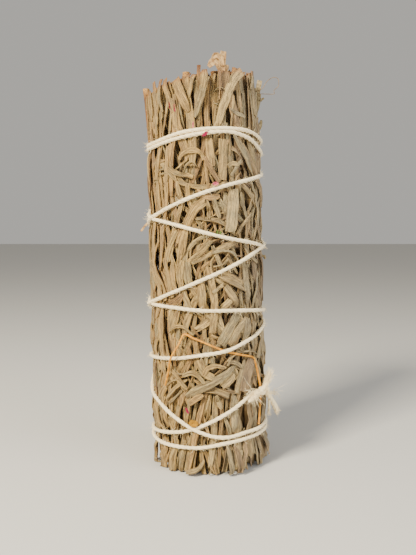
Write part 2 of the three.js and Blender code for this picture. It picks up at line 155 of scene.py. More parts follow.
class Wire:
    # a shader socket that can be used in Python sums
    def __init__(self, tree, socket):
        self.tree = tree
        self.socket = socket

    def sum(self, operation, first, second=0.0):
        node = self.tree.nodes.new("ShaderNodeMath")
        node.operation = operation
        for slot, value in zip(node.inputs, (first, second)):
            feed(self.tree, slot, value)
        return Wire(self.tree, node.outputs[0])

    def __add__(self, other):
        return self.sum("ADD", self, other)

    def __sub__(self, other):
        return self.sum("SUBTRACT", self, other)

    def __rsub__(self, other):
        return self.sum("SUBTRACT", other, self)

    def __mul__(self, other):
        return self.sum("MULTIPLY", self, other)

    def __abs__(self):
        return self.sum("ABSOLUTE", self)

    __radd__ = __add__
    __rmul__ = __mul__


def feed(tree, slot, value):
    if isinstance(value, Wire):
        tree.links.new(value.socket, slot)
    elif isinstance(value, tuple) and slot.type == "RGBA":
        slot.default_value = (*value[:3], 1)
    else:
        slot.default_value = value


class Finish:
    def __init__(self, name, roughness):
        self.material = bpy.data.materials.new(name)
        self.material.use_nodes = True
        self.tree = self.material.node_tree
        self.shader = self.tree.nodes["Principled BSDF"]
        self.shader.inputs["Roughness"].default_value = roughness

    def node(self, kind, settings={}, inputs={}, output=0):
        node = self.tree.nodes.new(kind)
        for name, value in settings.items():
            if name == "stops":
                fillRamp(node.color_ramp, value)
            else:
                setattr(node, name, value)
        for name, value in inputs.items():
            feed(self.tree, node.inputs[name], value)
        return Wire(self.tree, node.outputs[output])

    def attribute(self, name, output="Fac"):
        return self.node("ShaderNodeAttribute", {"attribute_name": name}, output=output)

    def place(self):
        return self.node("ShaderNodeTexCoord", output="Object")

    def noise(self, vector, scale, detail=3.0, rough=0.55, output="Fac"):
        inputs = {"Vector": vector, "Scale": scale, "Detail": detail, "Roughness": rough}
        return self.node("ShaderNodeTexNoise", {}, inputs, output)

    def stretched(self, vector, scale):
        return self.node("ShaderNodeMapping", {}, {"Vector": vector, "Scale": scale})

    def grain(self, along, stretch, *noise):  # a noise drawn out lengthwise
        return self.noise(self.stretched(along, (1, stretch, 1)), *noise)

    def ramp(self, value, stops):
        return self.node("ShaderNodeValToRGB", {"stops": stops}, {"Fac": value})

    def mix(self, share, first, second):
        settings = {"data_type": "RGBA", "clamp_factor": True}
        return self.node("ShaderNodeMix", settings, {0: share, 6: first, 7: second}, 2)

    def between(self, value, low, high):
        inputs = {"Value": value, "From Min": low, "From Max": high}
        return self.node("ShaderNodeMapRange", {"interpolation_type": "SMOOTHSTEP"}, inputs)

    def bump(self, height, distance):
        return self.node("ShaderNodeBump", {}, {"Height": height, "Distance": distance * mm})

    def use(self, **sockets):
        for name, value in sockets.items():
            feed(self.tree, self.shader.inputs[name.replace("_", " ")], value)
        return self.material


def fillRamp(ramp, stops):
    while len(ramp.elements) < len(stops):
        ramp.elements.new(0.5)
    for element, (place, colour) in zip(ramp.elements, stops):
        element.position = place
        element.color = (*colour, 1)


def hue(red, green, blue):  # screen values from 0 to 255 as a linear colour
    parts = [value / 255 for value in (red, green, blue)]
    return tuple(p / 12.92 if p <= 0.04045 else ((p + 0.055) / 1.055) ** 2.4 for p in parts)


leafLook = {
    "tones": [
        (0.0, hue(109, 75, 37)),
        (0.14, hue(141, 107, 59)),
        (0.34, hue(172, 134, 73)),
        (0.56, hue(169, 138, 77)),
        (0.8, hue(142, 126, 86)),
        (1.0, hue(193, 161, 97)),
    ],
    # dark brown: painted shade on deep leaves, creases and inner leaves, and also the leaves' own darker
    # marks
    "deep": hue(88, 62, 34),
    # cooler tint painted on the +X side, as the shade away from the warm key light
    "shadedSideTint": hue(143, 134, 116),
    "rib": hue(192, 164, 114),
    "burnt": hue(140, 72, 10),
    "wrinkle": 1.3,  # wrinkles in a millimetre across a leaf
    "sheen": (0.06, 0.6),  # weight and roughness
}


def leafFinish(name, shadeShare):
    finish = Finish(name, 0.92)
    place = finish.attribute("leafPlace", "Vector")
    tone = finish.attribute("leafTone")
    depth = finish.attribute("leafDepth")
    side = abs(finish.attribute("leafSide"))
    spots = finish.noise(place, 0.35, 4)
    felt = finish.noise(place, 6.0, 3, 0.7)
    wrinkles = finish.grain(place, 0.16, leafLook["wrinkle"], 4, 0.6)
    crumple = finish.grain(place, 0.45, 0.8, 2)
    # thin crease lines: grooves in the bump, with painted shade in the colour
    crease = 1 - finish.between(abs(finish.grain(place, 0.1, 0.8, 3) - 0.5), 0.0, 0.05)
    fine = finish.grain(place, 0.2, 2.6, 2, 0.7)
    rib = 1 - finish.between(side, 0.02, 0.12)
    x = finish.node("ShaderNodeSeparateXYZ", {}, {0: finish.place()}) * (1 / mm)
    layers = [  # the share that each colour takes of those before it
        (rib * 0.2, "rib"),
        (finish.between(wrinkles, 0.52, 0.3) * 0.65, "deep"),
        (finish.between(felt, 0.45, 0.75) * 0.2, "rib"),
        (finish.between(fine, 0.5, 0.28) * 0.5, "deep"),
        (finish.between(fine, 0.55, 0.75) * 0.45, "rib"),
        (finish.between(side, 0.7, 1.0) * 0.4, "deep"),
        # painted shade in the crease lines
        (crease * 0.5, "deep"),
        # painted shade: the leaves turn cooler towards the +X side, away from the warm key light
        (finish.between(x, -6, 20) * 0.38, "shadedSideTint"),
        # painted shade: the deeper a leaf lies in the pile, the darker it is painted
        ((1 - finish.between(depth, 0.15, 0.8)) * 0.8, "deep"),
        (finish.attribute("leafBurnt") * finish.between(felt, 0.35, 0.6), "burnt"),
        # painted shade laid evenly over the whole finish
        (shadeShare, "deep"),
    ]
    colour = finish.ramp(tone + (spots - 0.5) * 0.55, leafLook["tones"])
    for share, shade in layers:
        colour = finish.mix(share, colour, leafLook[shade])
    height = wrinkles * 1.0 + crumple * 0.7 + fine * 0.5 + felt * 0.2 + rib * 0.3 - crease * 0.5
    sheen, sheenRoughness = leafLook["sheen"]
    finish.use(Sheen_Weight=sheen, Sheen_Roughness=sheenRoughness)
    return finish.use(Base_Color=colour, Normal=finish.bump(height, 0.5))


woodLook = {"bark": hue(144, 96, 42), "dark": hue(84, 50, 24), "pith": hue(190, 148, 86)}


def woodFinish():
    finish = Finish("sage wood", 0.8)
    streaks = finish.noise(finish.stretched(finish.place(), (1, 1, 0.12)), 1400, 5, 0.6)
    pith = finish.attribute("cutEnd")
    colour = finish.mix(finish.between(streaks, 0.35, 0.65), woodLook["dark"], woodLook["bark"])
    pores = finish.noise(finish.place(), 3500, 2)
    face = finish.mix(finish.between(pores, 0.4, 0.62), woodLook["bark"], woodLook["pith"])
    colour = finish.mix(pith, colour, face)
    return finish.use(Base_Color=colour, Normal=finish.bump(streaks * (1 - pith) + pores * 0.3, 0.25))


cottonLook = {"thread": hue(255, 236, 190), "shade": hue(232, 204, 154), "sheen": 0.4}


def cottonFinish(name, follows):
    # follows is true for a piece that has the plyPlace attribute
    finish = Finish(name, 0.95)
    along = finish.attribute("plyPlace", "Vector") if follows else finish.place()
    fibres = finish.grain(along, 0.35, 5.0 if follows else 2500, 4, 0.65)
    soft = finish.noise(finish.place(), 500, 2)
    worn = finish.between(fibres, 0.56, 0.36) * 0.4
    colour = finish.mix(worn, cottonLook["thread"], cottonLook["shade"])
    colour = finish.mix(soft * 0.2, colour, cottonLook["shade"])
    finish.use(Sheen_Weight=cottonLook["sheen"])
    return finish.use(Base_Color=colour, Normal=finish.bump(fibres, 0.12))


def streakedFinish(name, light, dark, scale, roughness):
    finish = Finish(name, roughness)
    streaks = finish.noise(finish.place(), scale, 4, 0.6)
    colour = finish.mix(finish.between(streaks, 0.35, 0.65), dark, light)
    return finish.use(Base_Color=colour, Normal=finish.bump(streaks, 0.12))


sageLeaf = leafFinish("dried sage leaf", 0.0)
# the inner leaves get 0.3 of painted shade all over
innerLeaf = leafFinish("inner sage leaf", 0.3)
sageWood = woodFinish()
cotton = cottonFinish("cotton string", True)
cottonFluff = cottonFinish("cotton fluff", False)
straw = streakedFinish("dry straw", hue(222, 154, 24), hue(180, 114, 8), 900, 0.6)
yellowPetal = streakedFinish("yellow petal", hue(172, 122, 0), hue(132, 88, 0), 1500, 0.9)
pinkPetal = streakedFinish("pink petal", hue(160, 0, 66), hue(112, 0, 42), 1500, 0.9)
fadedPetal = streakedFinish("faded petal", hue(200, 96, 110), hue(156, 52, 72), 1500, 0.8)
greenCrumb = streakedFinish("green crumb", hue(96, 116, 46), hue(70, 88, 34), 1500, 0.9)
tanTip = streakedFinish("curled tan leaf", hue(192, 156, 102), hue(130, 92, 50), 900, 0.8)
scrapTip = streakedFinish("leaf scrap", hue(164, 144, 104), hue(116, 98, 66), 1400, 0.9)
curlyFibre = streakedFinish("loose fibre", hue(150, 120, 84), hue(104, 80, 54), 900, 0.8)
print("finishes are made")


def makePiece(name, corners, faces, finish, numbers={}):
    # corners in millimetres; numbers are point attributes, a value or a triple for each corner
    mesh = bpy.data.meshes.new(name)
    mesh.from_pydata((np.asarray(corners, float) * mm).tolist(), [], [list(face) for face in faces])
    for label, values in numbers.items():
        values = np.asarray(values, np.float32)
        kind, key = ("FLOAT", "value") if values.ndim == 1 else ("FLOAT_VECTOR", "vector")
        mesh.attributes.new(label, kind, "POINT").data.foreach_set(key, values.ravel())
    mesh.materials.append(finish)
    mesh.update()
    piece = bpy.data.objects.new(name, mesh)
    bpy.context.collection.objects.link(piece)
    return piece


def workOn(piece):
    bpy.ops.object.select_all(action="DESELECT")
    bpy.context.view_layer.objects.active = piece
    piece.select_set(True)


def applied(piece, kind, **settings):
    workOn(piece)
    modifier = piece.modifiers.new(kind.lower(), kind)
    for name, value in settings.items():
        setattr(modifier, name, value)
    bpy.ops.object.modifier_apply(modifier=modifier.name)
    return piece


def smoothed(piece, degrees):
    workOn(piece)
    bpy.ops.object.shade_smooth_by_angle(angle=math.radians(degrees))
    return piece


def standsFor(piece, slot, *nodes):
    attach(piece, "root")
    if nodes:
        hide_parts(*nodes)


def joined(parts):  # the corners and faces of several meshes as those of one
    corners, faces, first = [], [], 0
    for partCorners, partFaces in parts:
        corners.append(partCorners)
        faces += [[int(index) + first for index in face] for face in partFaces]
        first += len(partCorners)
    return np.concatenate(corners), faces


def startRound(name, sides, radius, place=(0, 0, 0), turned=(0, 0, 0)):
    # adds a filled round and opens it in edit mode
    bpy.ops.object.select_all(action="DESELECT")
    bpy.ops.mesh.primitive_circle_add(
        vertices=sides, radius=radius, fill_type="NGON", location=place, rotation=turned
    )
    bpy.context.object.name = name
    bpy.ops.object.mode_set(mode="EDIT")
    return bpy.context.object


def extrudeBy(step):
    bpy.ops.mesh.extrude_region_move(TRANSFORM_OT_translate={"value": tuple(step)})


def roughen(offset, seed):  # in edit mode, moves every corner a little
    bpy.ops.mesh.select_all(action="SELECT")
    bpy.ops.transform.vertex_random(offset=offset, seed=seed)


def faceOutwards():
    bpy.ops.mesh.select_all(action="SELECT")
    bpy.ops.mesh.normals_make_consistent(inside=False)


def leaveEditing():  # and keeps the piece's place in its mesh
    bpy.ops.object.mode_set(mode="OBJECT")
    bpy.ops.object.transform_apply(location=True, rotation=True, scale=True)


def pick(mesh, test):  # in edit mode, selects the corners whose place passes a test
    bpy.ops.mesh.select_all(action="DESELECT")
    shape = bmesh.from_edit_mesh(mesh)
    for corner in shape.verts:
        corner.select_set(test(corner.co))
    shape.select_flush(True)
    bmesh.update_edit_mesh(mesh)


# Each blank is a flat leaf 2 across and 2 long. Widths are (place along, share of the width).
leafBlanks = {
    "lance": {"faces": (4, 9), "widths": [(0, 0.55), (0.15, 0.9), (0.45, 1), (0.8, 0.8), (1, 0.28)]},
    "strap": {"faces": (4, 9), "widths": [(0, 0.8), (0.1, 0.95), (0.5, 1), (0.9, 0.95), (1, 0.8)]},
    "cut": {"faces": (4, 9), "widths": [(0, 0.45), (0.2, 0.85), (0.5, 1), (1, 0.95)]},
    "scrap": {"faces": (4, 7), "widths": [(0, 0.6), (0.2, 0.9), (0.6, 1), (0.85, 0.8), (1, 0.4)]},
    "hook": {"faces": (3, 14), "widths": [(0, 0.6), (0.2, 0.9), (0.6, 0.9), (1, 0.4)]},
    "deep": {"faces": (2, 6), "widths": [(0, 0.6), (0.2, 0.95), (0.8, 0.95), (1, 0.6)]},
}
leafBlankRough = {"edge": 0.09, "face": 0.05, "variants": 4}


def modelBlank(kind, variant):
    settings = leafBlanks[kind]
    across, along = settings["faces"]
    bpy.ops.mesh.primitive_grid_add(x_subdivisions=across, y_subdivisions=along, size=2)
    sheet = bpy.context.object
    bpy.ops.object.mode_set(mode="EDIT")
    seed = 10 * list(leafBlanks).index(kind) + variant + 1
    places, widths = zip(*settings["widths"])
    for row in range(along + 1):  # narrow each row to the leaf's outline
        level = 2 * row / along - 1
        pick(sheet.data, lambda co: abs(co.y - level) < 0.5 / along)
        width = float(np.interp(row / along, places, widths))
        bpy.ops.transform.resize(value=(width, 1, 1), center_override=(0, level, 0))
    roughen(leafBlankRough["face"], seed)  # crumple the face, then tear the edge a little
    bpy.ops.mesh.select_all(action="DESELECT")
    bpy.ops.mesh.select_non_manifold()
    bpy.ops.transform.vertex_random(offset=leafBlankRough["edge"], seed=seed + 50)
    bpy.ops.object.mode_set(mode="OBJECT")
    corners = np.array([vertex.co for vertex in sheet.data.vertices])
    faces = np.array([face.vertices[:] for face in sheet.data.polygons])
    bpy.data.objects.remove(sheet)
    rows = (along + 1, across + 1)
    return {
        "side": corners[:, 0].reshape(rows),
        "along": np.clip((corners[:, 1].reshape(rows) + 1) / 2, 0, 1),
        "crumple": corners[:, 2].reshape(rows),
        "faces": faces,
    }


blanks = {kind: [modelBlank(kind, v) for v in range(leafBlankRough["variants"])] for kind in leafBlanks}
print("leaf blanks are modelled:", len(blanks))


# The leaves are laid on a field of radii, one for each small square round and up the bundle.
pile = {
    "step": 0.25,
    "foot": -4.0,
    "levels": 560,
    "lumps": (1.2, 0.45),  # breadth and height of the core's lumps
    "leafThickness": 0.32,
    "free": (9, 113),  # below and above, no string holds the leaves
    "stiffness": 0.05,  # how much a leaf's free end may sink in a millimetre
}
pile["turns"] = round(360 * circle / pile["step"])


def cells(u, z):
    turn = np.floor(u / pile["step"]).astype(int) % pile["turns"]
    level = np.clip(np.floor((z - pile["foot"]) / pile["step"]).astype(int), 0, pile["levels"] - 1)
    return turn, level


def softened(field, blur):  # Gaussian blur, wrapped round the bundle
    spectrum = np.fft.rfft2(field)
    across = np.fft.fftfreq(field.shape[0])[:, None]
    up = np.fft.rfftfreq(field.shape[1])[None, :]
    spread = blur / pile["step"]
    keep = np.exp(-2 * (math.pi * spread) ** 2 * (across**2 + up**2))
    return np.fft.irfft2(spectrum * keep, s=field.shape)


def topOf(field, cellsWide, blur):  # a smooth skin over the highest cells
    for axis in (0, 1):
        rolled = [np.roll(field, shift, axis) for shift in range(-cellsWide, cellsWide + 1)]
        field = np.maximum.reduce(rolled)
    return softened(field, blur)


def startPile(random):
    breadth, height = pile["lumps"]
    lumps = softened(random.normal(size=(pile["turns"], pile["levels"])), breadth)
    lumps *= height / lumps.std()
    pile["height"] = bundle["coreRadius"] + np.clip(lumps, -1, 1)


def smoothLine(points, steps):
    # a smooth line through points, by the first number of each
    points = np.asarray(points, float)
    at, values = points[:, 0], points[:, 1:]
    slopes = np.gradient(values, at, axis=0)
    place = np.clip(np.searchsorted(at, steps, side="right") - 1, 0, len(at) - 2)
    gap = (at[place + 1] - at[place])[:, None]
    t = ((steps - at[place])[:, None]) / gap
    start, end = values[place], values[place + 1]
    out = start * (2 * t**3 - 3 * t**2 + 1) + end * (3 * t**2 - 2 * t**3)
    return out + gap * (slopes[place] * (t**3 - 2 * t**2 + t) + slopes[place + 1] * (t**3 - t**2))


def smoothThrough(places, count):  # a smooth line through rows of numbers, in even steps
    marks = np.arange(len(places))
    numbered = np.insert(np.array(places, float), 0, marks, axis=1)
    return smoothLine(numbered, np.linspace(0, marks[-1], count))


def resample(route, along):  # places and headings at given shares of a route's length
    steps = np.hypot(*np.diff(route, axis=0).T)
    run = np.concatenate([[0], np.cumsum(steps)])
    run /= run[-1]
    ahead = np.gradient(route, run, axis=0)
    ahead /= np.linalg.norm(ahead, axis=1)[:, None]
    at = [np.interp(along, run, route[:, axis]) for axis in (0, 1)]
    facing = [np.interp(along, run, ahead[:, axis]) for axis in (0, 1)]
    return np.stack(at, -1), np.stack(facing, -1)


def rowSoftened(rows, reach):  # Gaussian blur along a row
    kernel = np.exp(-0.5 * (np.arange(-2 * reach, 2 * reach + 1) / reach) ** 2)
    padded = np.pad(rows, 2 * reach, mode="edge")
    return np.convolve(padded, kernel / kernel.sum(), mode="valid")


leafSections = {  # curl over the width, fold of the middle, roll of the edges: edges lift if positive
    "flat": (0.15, 0.0, -0.25),
    "ridge": (-0.3, -0.32, -0.35),
    "trough": (0.3, 0.38, 0.2),
    "rolled": (-1.3, 0.0, -0.5),
    "cupped": (1.2, 0.0, 0.4),
    "tube": (-4.6, 0.0, 0.0),
}
leafForm = {
    "crumple": 1.8,
    "waves": (4, 8),  # least and greatest length of the waves along an edge
    "lowest": 0.3,
    "dense": (8, 4),  # how many times finer than its rows and columns a leaf fills the pile
}
laidLeaves = []


def sectionLine(curl, fold, roll):
    # how a section runs from edge to edge, for a leaf 2 wide
    share = np.linspace(-1, 1, 41)
    middle = len(share) // 2
    angle = curl * share / 2 + fold * np.tanh(5 * share)
    angle += roll * np.sign(share) * smoothstep(np.abs(share), 0.45, 1)
    step = share[1] - share[0]
    across, rise = np.cumsum(np.cos(angle)) * step, np.cumsum(np.sin(angle)) * step
    return share, across - across[middle], rise - rise[middle]


def bent(blank, width, section, crumple):
    # how far each corner of a blank lies across and out from the midrib
    half = np.abs(blank["side"]).max(axis=1, keepdims=True)
    share = blank["side"] / half
    shares, across, rise = sectionLine(*section)
    across = np.interp(share, shares, across) * half * width / 2
    return share, across, np.interp(share, shares, rise) * half * width / 2 + blank["crumple"] * crumple


def turnedBy(tilt, across, rise):
    cosine, sine = np.cos(tilt), np.sin(tilt)
    return across * cosine - rise * sine, across * sine + rise * cosine


def layLeaf(route, width, kind, section, tilt, random, lift, sink, tone, wave):
    # route is in millimetres round and up. tilt turns the section about the midrib, and lift
    # raises it, both at the root, the middle and the tip.
    blank = blanks[kind][int(random.integers(leafBlankRough["variants"]))]
    along, side = blank["along"], blank["side"]
    rows, columns = side.shape
    centre, ahead = resample(route, along)
    length = np.hypot(*np.diff(route, axis=0).T).sum()
    share, across, rise = bent(blank, width, section, leafForm["crumple"])
    phase = 2 * math.pi * along * length / random.uniform(*leafForm["waves"])
    rise += wave * share * np.sin(phase + random.uniform(0, 6))
    wide, proud = turnedBy(np.interp(along, [0, 0.5, 1], tilt), across, rise)
    proud -= proud.min(axis=1)[:, None]
    u = centre[..., 0] - wide * ahead[..., 1]
    z = np.maximum(centre[..., 1] + wide * ahead[..., 0], leafForm["lowest"])
    bed = (pile["height"][cells(u, z)] - proud).max(axis=1)
    bed = np.maximum.reduce([np.roll(np.pad(bed, 1, mode="edge"), s)[1:-1] for s in (-1, 0, 1)])
    bed = heldAtEnds(rowSoftened(bed, 1), centre[:, columns // 2, 1]) - sink
    bed += np.interp(np.linspace(0, 1, rows), [0, 0.5, 1], lift)
    radius = bed[:, None] + proud
    finer = [np.linspace(0, n - 1, times * n) for n, times in zip((rows, columns), leafForm["dense"])]
    denseU, denseZ, denseTop = (filledIn(f, *finer) for f in (u, z, radius + pile["leafThickness"]))
    np.maximum.at(pile["height"], cells(denseU, denseZ), denseTop)
    middle = centre[rows // 2, columns // 2]
    laidLeaves.append({
        "u": u, "z": z, "radius": radius, "faces": blank["faces"], "tone": tone,
        "sprig": sprigAt(middle[0] / circle, middle[1]),
        "side": side, "place": (side * width / 2, along * length),
    })


def heldAtEnds(bed, z):
    # past the string's first and last turns a leaf stands on straight and doesn't sink inwards
    free = (z > pile["free"][1]) | (z < pile["free"][0])
    if free.all() or not free.any():
        return bed
    held = np.flatnonzero(~free)
    nearest = held[np.abs(np.arange(len(bed))[:, None] - held[None, :]).argmin(axis=1)]
    straight = bed[nearest] - pile["stiffness"] * np.abs(z - z[nearest])
    return np.where(free, np.maximum(bed, straight), bed)


def filledIn(field, rows, columns):  # a field's values between its rows and columns
    down, over = rows.astype(int), columns.astype(int)
    below, right = np.minimum(down + 1, field.shape[0] - 1), np.minimum(over + 1, field.shape[1] - 1)
    r, c = (rows - down)[:, None], (columns - over)[None, :]
    top = field[np.ix_(down, over)] * (1 - c) + field[np.ix_(down, right)] * c
    bottom = field[np.ix_(below, over)] * (1 - c) + field[np.ix_(below, right)] * c
    return top * (1 - r) + bottom * r


layering = {
    "seed": 43,
    "rounds": [300, 340, 420, 480],  # leaves in each round, deepest first
    "cover": 1100,  # leaves laid last, over the lowest places
    "batch": 16,  # leaves laid before the lowest places are looked for again
    "lowest": 5000,  # cells that count as lowest
    "covered": (1, 124),  # heights between which they are looked for
    "lowBlur": (0.8, 7),  # a place is low if the first blur is below the second
    "tries": 6,
    "heights": (-2, 128),
    "disorder": 18,  # how far the leaves of a round are from being laid downwards
    "width": (3.4, 0.58, 0.6, 4.2),  # gamma shape and scale, least and most
    "length": (18, 36),
    "cut": (2.2, 1.8),  # how uneven the cut tops and the cut foot are
    "leastPoints": 12,  # a route with fewer is dropped
    "footWidth": (3, 0.88),  # a leaf that starts lower is narrower
    "topWidth": (118, 1.15),  # a leaf that ends higher is wider
    "torn": 60,  # below this height half of the leaves end in a torn point
    "hooked": (1.1, 2.2),  # from this bend a leaf is a hook, and its greatest width
    "tone": (0.56, 0.27),
}
wild = {  # where the leaves lie anyhow
    "front": (78, 52, 1),  # turn, spread and share
    "back": (285, 45, 0.9),
    "foot": (14, 34),  # heights it comes in between and goes out between
    "head": (90, 108),
    "least": 0.12,
}
# How a leaf lies: the first number is for a leaf that lies tidily, the second is what a loose one
# adds, and the third what is added at the foot.
lie = {
    "heading": (0.11, 0.75, 0.16),
    "bend": (0.2, 1.1, 0.2),
    "footFades": (8, 20),
    "tilt": (0.16, 0.3),
    "tipLift": (0.2, 0.7),
    "wave": (0.06, 0.15),
    "edgeOn": (0.7, 1.2),  # tilt for a bend of 1, and at most
    "sink": (0.12, 0.5),  # for a flat leaf, and added for a width of 1 on its edge
}

hollows = {  # dark gaps that the upper rounds leave open, as points of the camera's picture
    "radius": 0.5,
    "cells": 5,  # cells each way that the cover leaves stay off
    "open": 100,  # above this height no leaf at all covers them
    "overlap": 0.6,
    "seen": [
        (169, 120), (183, 117), (255, 105), (212, 116), (191, 101),
        (192, 96), (202, 108), (213, 109), (230, 117), (237, 104), (162, 96), (162, 107), (170, 123),
        (165, 148), (161, 153), (175, 146), (184, 164), (196, 171), (200, 142), (213, 166), (236, 155),
        (235, 140), (199, 179), (223, 177), (246, 160), (182, 198), (180, 214), (239, 197), (251, 199),
        (207, 213), (223, 213), (162, 236), (166, 248), (194, 271), (218, 245), (240, 250), (174, 281),
        (205, 296), (246, 292), (224, 318), (198, 322), (190, 352), (230, 352), (213, 384), (240, 386),
        (200, 402), (226, 405), (247, 420), (205, 462), (232, 460),
    ],
}
hollowPlaces = np.array([seenAt(*point) for point in hollows["seen"]]) * (circle, 1)


def wildness(turn, z):  # 0 where the leaves run lengthwise, 1 where they lie anyhow
    middle = smoothstep(z, *wild["foot"]) * (1 - smoothstep(z, *wild["head"]))
    front, back = (
        share * np.exp(-(((turn - at + 180) % 360 - 180) / spread) ** 2)
        for at, spread, share in (wild["front"], wild["back"])
    )
    return middle * (wild["least"] + (1 - wild["least"]) * np.maximum(front, back))


def curvedRoute(turn, z, heading, length, bend, points=48):
    steps = np.linspace(0, 1, points)
    heading = heading + bend * (steps - 0.5)
    step = length / (points - 1)
    u = np.cumsum(np.sin(heading)) * step
    up = np.cumsum(np.cos(heading)) * step
    middle = points // 2
    return np.stack([turn * circle + u - u[middle], z + up - up[middle]], -1)


def trimmed(route, random):
    # cuts a route at the foot and the top, and says whether its far end is a cut end
    x = onBundle(route[:, 0] / circle, bundle["leafReach"], route[:, 1])[:, 0]
    atTop, atFoot = layering["cut"]
    top = topHeight(x) - random.uniform(0, 1) ** 2 * atTop
    low = random.uniform(0, 1) ** 3 * atFoot
    inside = (route[:, 1] < top) & (route[:, 1] > low)
    if inside.sum() < layering["leastPoints"]:
        return None, False
    kept = route[inside]
    if inside[0] and inside[-1]:
        return kept, False
    return (kept if inside[0] else kept[::-1]), True


def spreadOf(trait, loose, foot=0):
    tidy, added, *atFoot = lie[trait]
    return tidy + added * loose + sum(atFoot) * foot


def planAt(random, turn, z):
    # a leaf's route through a place, whether it ends at a cut, how loosely it lies and its bend
    loose = float(wildness(turn, z)) * random.uniform(0.5, 1.15)
    foot = float(1 - smoothstep(z, *lie["footFades"]))
    heading = random.normal(0, spreadOf("heading", loose, foot))
    length = random.uniform(*layering["length"]) * (1 - 0.5 * loose)
    bend = random.normal(0, spreadOf("bend", loose, foot))
    kept, cutEnd = trimmed(curvedRoute(turn, z, heading, length, bend), random)
    return kept, cutEnd, loose, bend


def planAnywhere(random):
    return planAt(random, random.uniform(0, 360), random.uniform(*layering["heights"]))


def groundUnder(route):
    return pile["height"][cells(route[:, 0], route[:, 1])].mean()


def clearOfHollows(route, width):
    # moves a route sideways off the nearest hollow
    apart = route[:, None, :] - hollowPlaces[None, :, :]
    away = np.hypot(apart[..., 0], apart[..., 1])
    nearest = np.unravel_index(away.argmin(), away.shape)
    push = hollows["radius"] + width / 2 - away[nearest]
    return route + apart[nearest] / max(away[nearest], 0.05) * max(push, 0)


def coversHollow(route, width):  # near the top, where the leaves stand side by side
    apart = route[:, None, :] - hollowPlaces[None, hollowPlaces[:, 1] > hollows["open"], :]
    near = hollows["overlap"] * (hollows["radius"] + width / 2)
    return np.hypot(apart[..., 0], apart[..., 1]).min() < near


def planWidth(random, route, cutEnd, loose, last):
    shape, scale, least, most = layering["width"]
    width = float(np.clip(random.gamma(shape, scale), least, most))
    if last and (cutEnd or loose > 0.35):
        width = 0.5 + 0.6 * width
    foot, footShare = layering["footWidth"]
    top, topShare = layering["topWidth"]
    if route[:, 1].min() < foot:
        width *= footShare
    if route[:, 1].max() > top:
        width *= topShare
    return width


def planKind(random, route, cutEnd, bend):
    kind = "cut" if cutEnd else random.choice(["lance", "strap", "scrap"], p=[0.34, 0.5, 0.16])
    if cutEnd and route[-1, 1] < layering["torn"] and bend < 0:
        kind = "lance"
    return "hook" if abs(bend) > layering["hooked"][0] else kind


def layPlan(random, plan, deep=False, last=False):
    route, cutEnd, loose, bend = plan
    width = planWidth(random, route, cutEnd, loose, last)
    forBend, mostOn = lie["edgeOn"]
    edgeOn = min(abs(bend) * forBend, mostOn) * random.choice([-1, 1])
    tilt = edgeOn + random.normal(0, spreadOf("tilt", loose), 3)
    kind = planKind(random, route, cutEnd, bend)
    if kind == "hook":
        width = min(width, layering["hooked"][1])
    if deep:
        kind = "deep"
    else:
        route = clearOfHollows(route, width)
        if coversHollow(route, width):
            return
    sections = [leafSections[name] for name in ("flat", "ridge", "trough", "rolled", "cupped")]
    section = np.array(sections[int(random.integers(5))]) * random.uniform(0.5, 1.4)
    flat, onEdge = lie["sink"]
    sink = flat + onEdge * width * abs(math.sin(edgeOn))
    lift = (0, 0, random.uniform(0, spreadOf("tipLift", loose)) if last else 0)
    tone = float(np.clip(random.normal(*layering["tone"]), 0, 1))
    layLeaf(route, width, kind, section, tilt, random, lift, sink, tone, spreadOf("wave", loose))


def layRound(random, count, deep):
    plans = []
    for _ in range(count):
        tries = [planAnywhere(random) for _ in range(layering["tries"])]
        tries = [plan for plan in tries if plan[0] is not None]
        if tries:
            plans.append(min(tries, key=lambda plan: groundUnder(plan[0])))
    plans.sort(key=lambda plan: -plan[0][0, 1] + random.normal(0, layering["disorder"]))
    for plan in plans:
        layPlan(random, plan, deep=deep)


def leftBare():  # the cells that no cover leaf is laid over: past the ends, and at the hollows
    bare = np.zeros((pile["turns"], pile["levels"]), bool)
    low, high = (int((z - pile["foot"]) / pile["step"]) for z in layering["covered"])
    bare[:, :low] = True
    bare[:, high:] = True
    reach = hollows["cells"]
    for u, z in hollowPlaces:
        turn, level = cells(u, z)
        bare[turn - reach : turn + reach + 1, level - reach : level + reach + 1] = True
    return bare


def layCover(random):
    # over the lowest places that are left, so that only narrow cracks stay
    bare = leftBare()
    batch, lowest = layering["batch"], layering["lowest"]
    for _ in range(layering["cover"] // batch):
        near, wide = (softened(pile["height"], blur) for blur in layering["lowBlur"])
        low = near - wide + 9.0 * bare
        candidates = np.argpartition(low.ravel(), lowest)[:lowest]
        for cell in random.choice(candidates, batch, replace=False):
            turn, level = divmod(int(cell), pile["levels"])
            u, z = (turn + 0.5) * pile["step"], pile["foot"] + level * pile["step"]
            plan = planAt(random, u / circle, z)
            if plan[0] is not None:
                layPlan(random, plan, last=True)


leafRandom = np.random.default_rng(layering["seed"])
startPile(leafRandom)
for number, count in enumerate(layering["rounds"]):
    layRound(leafRandom, count, deep=number == 0)
layCover(leafRandom)

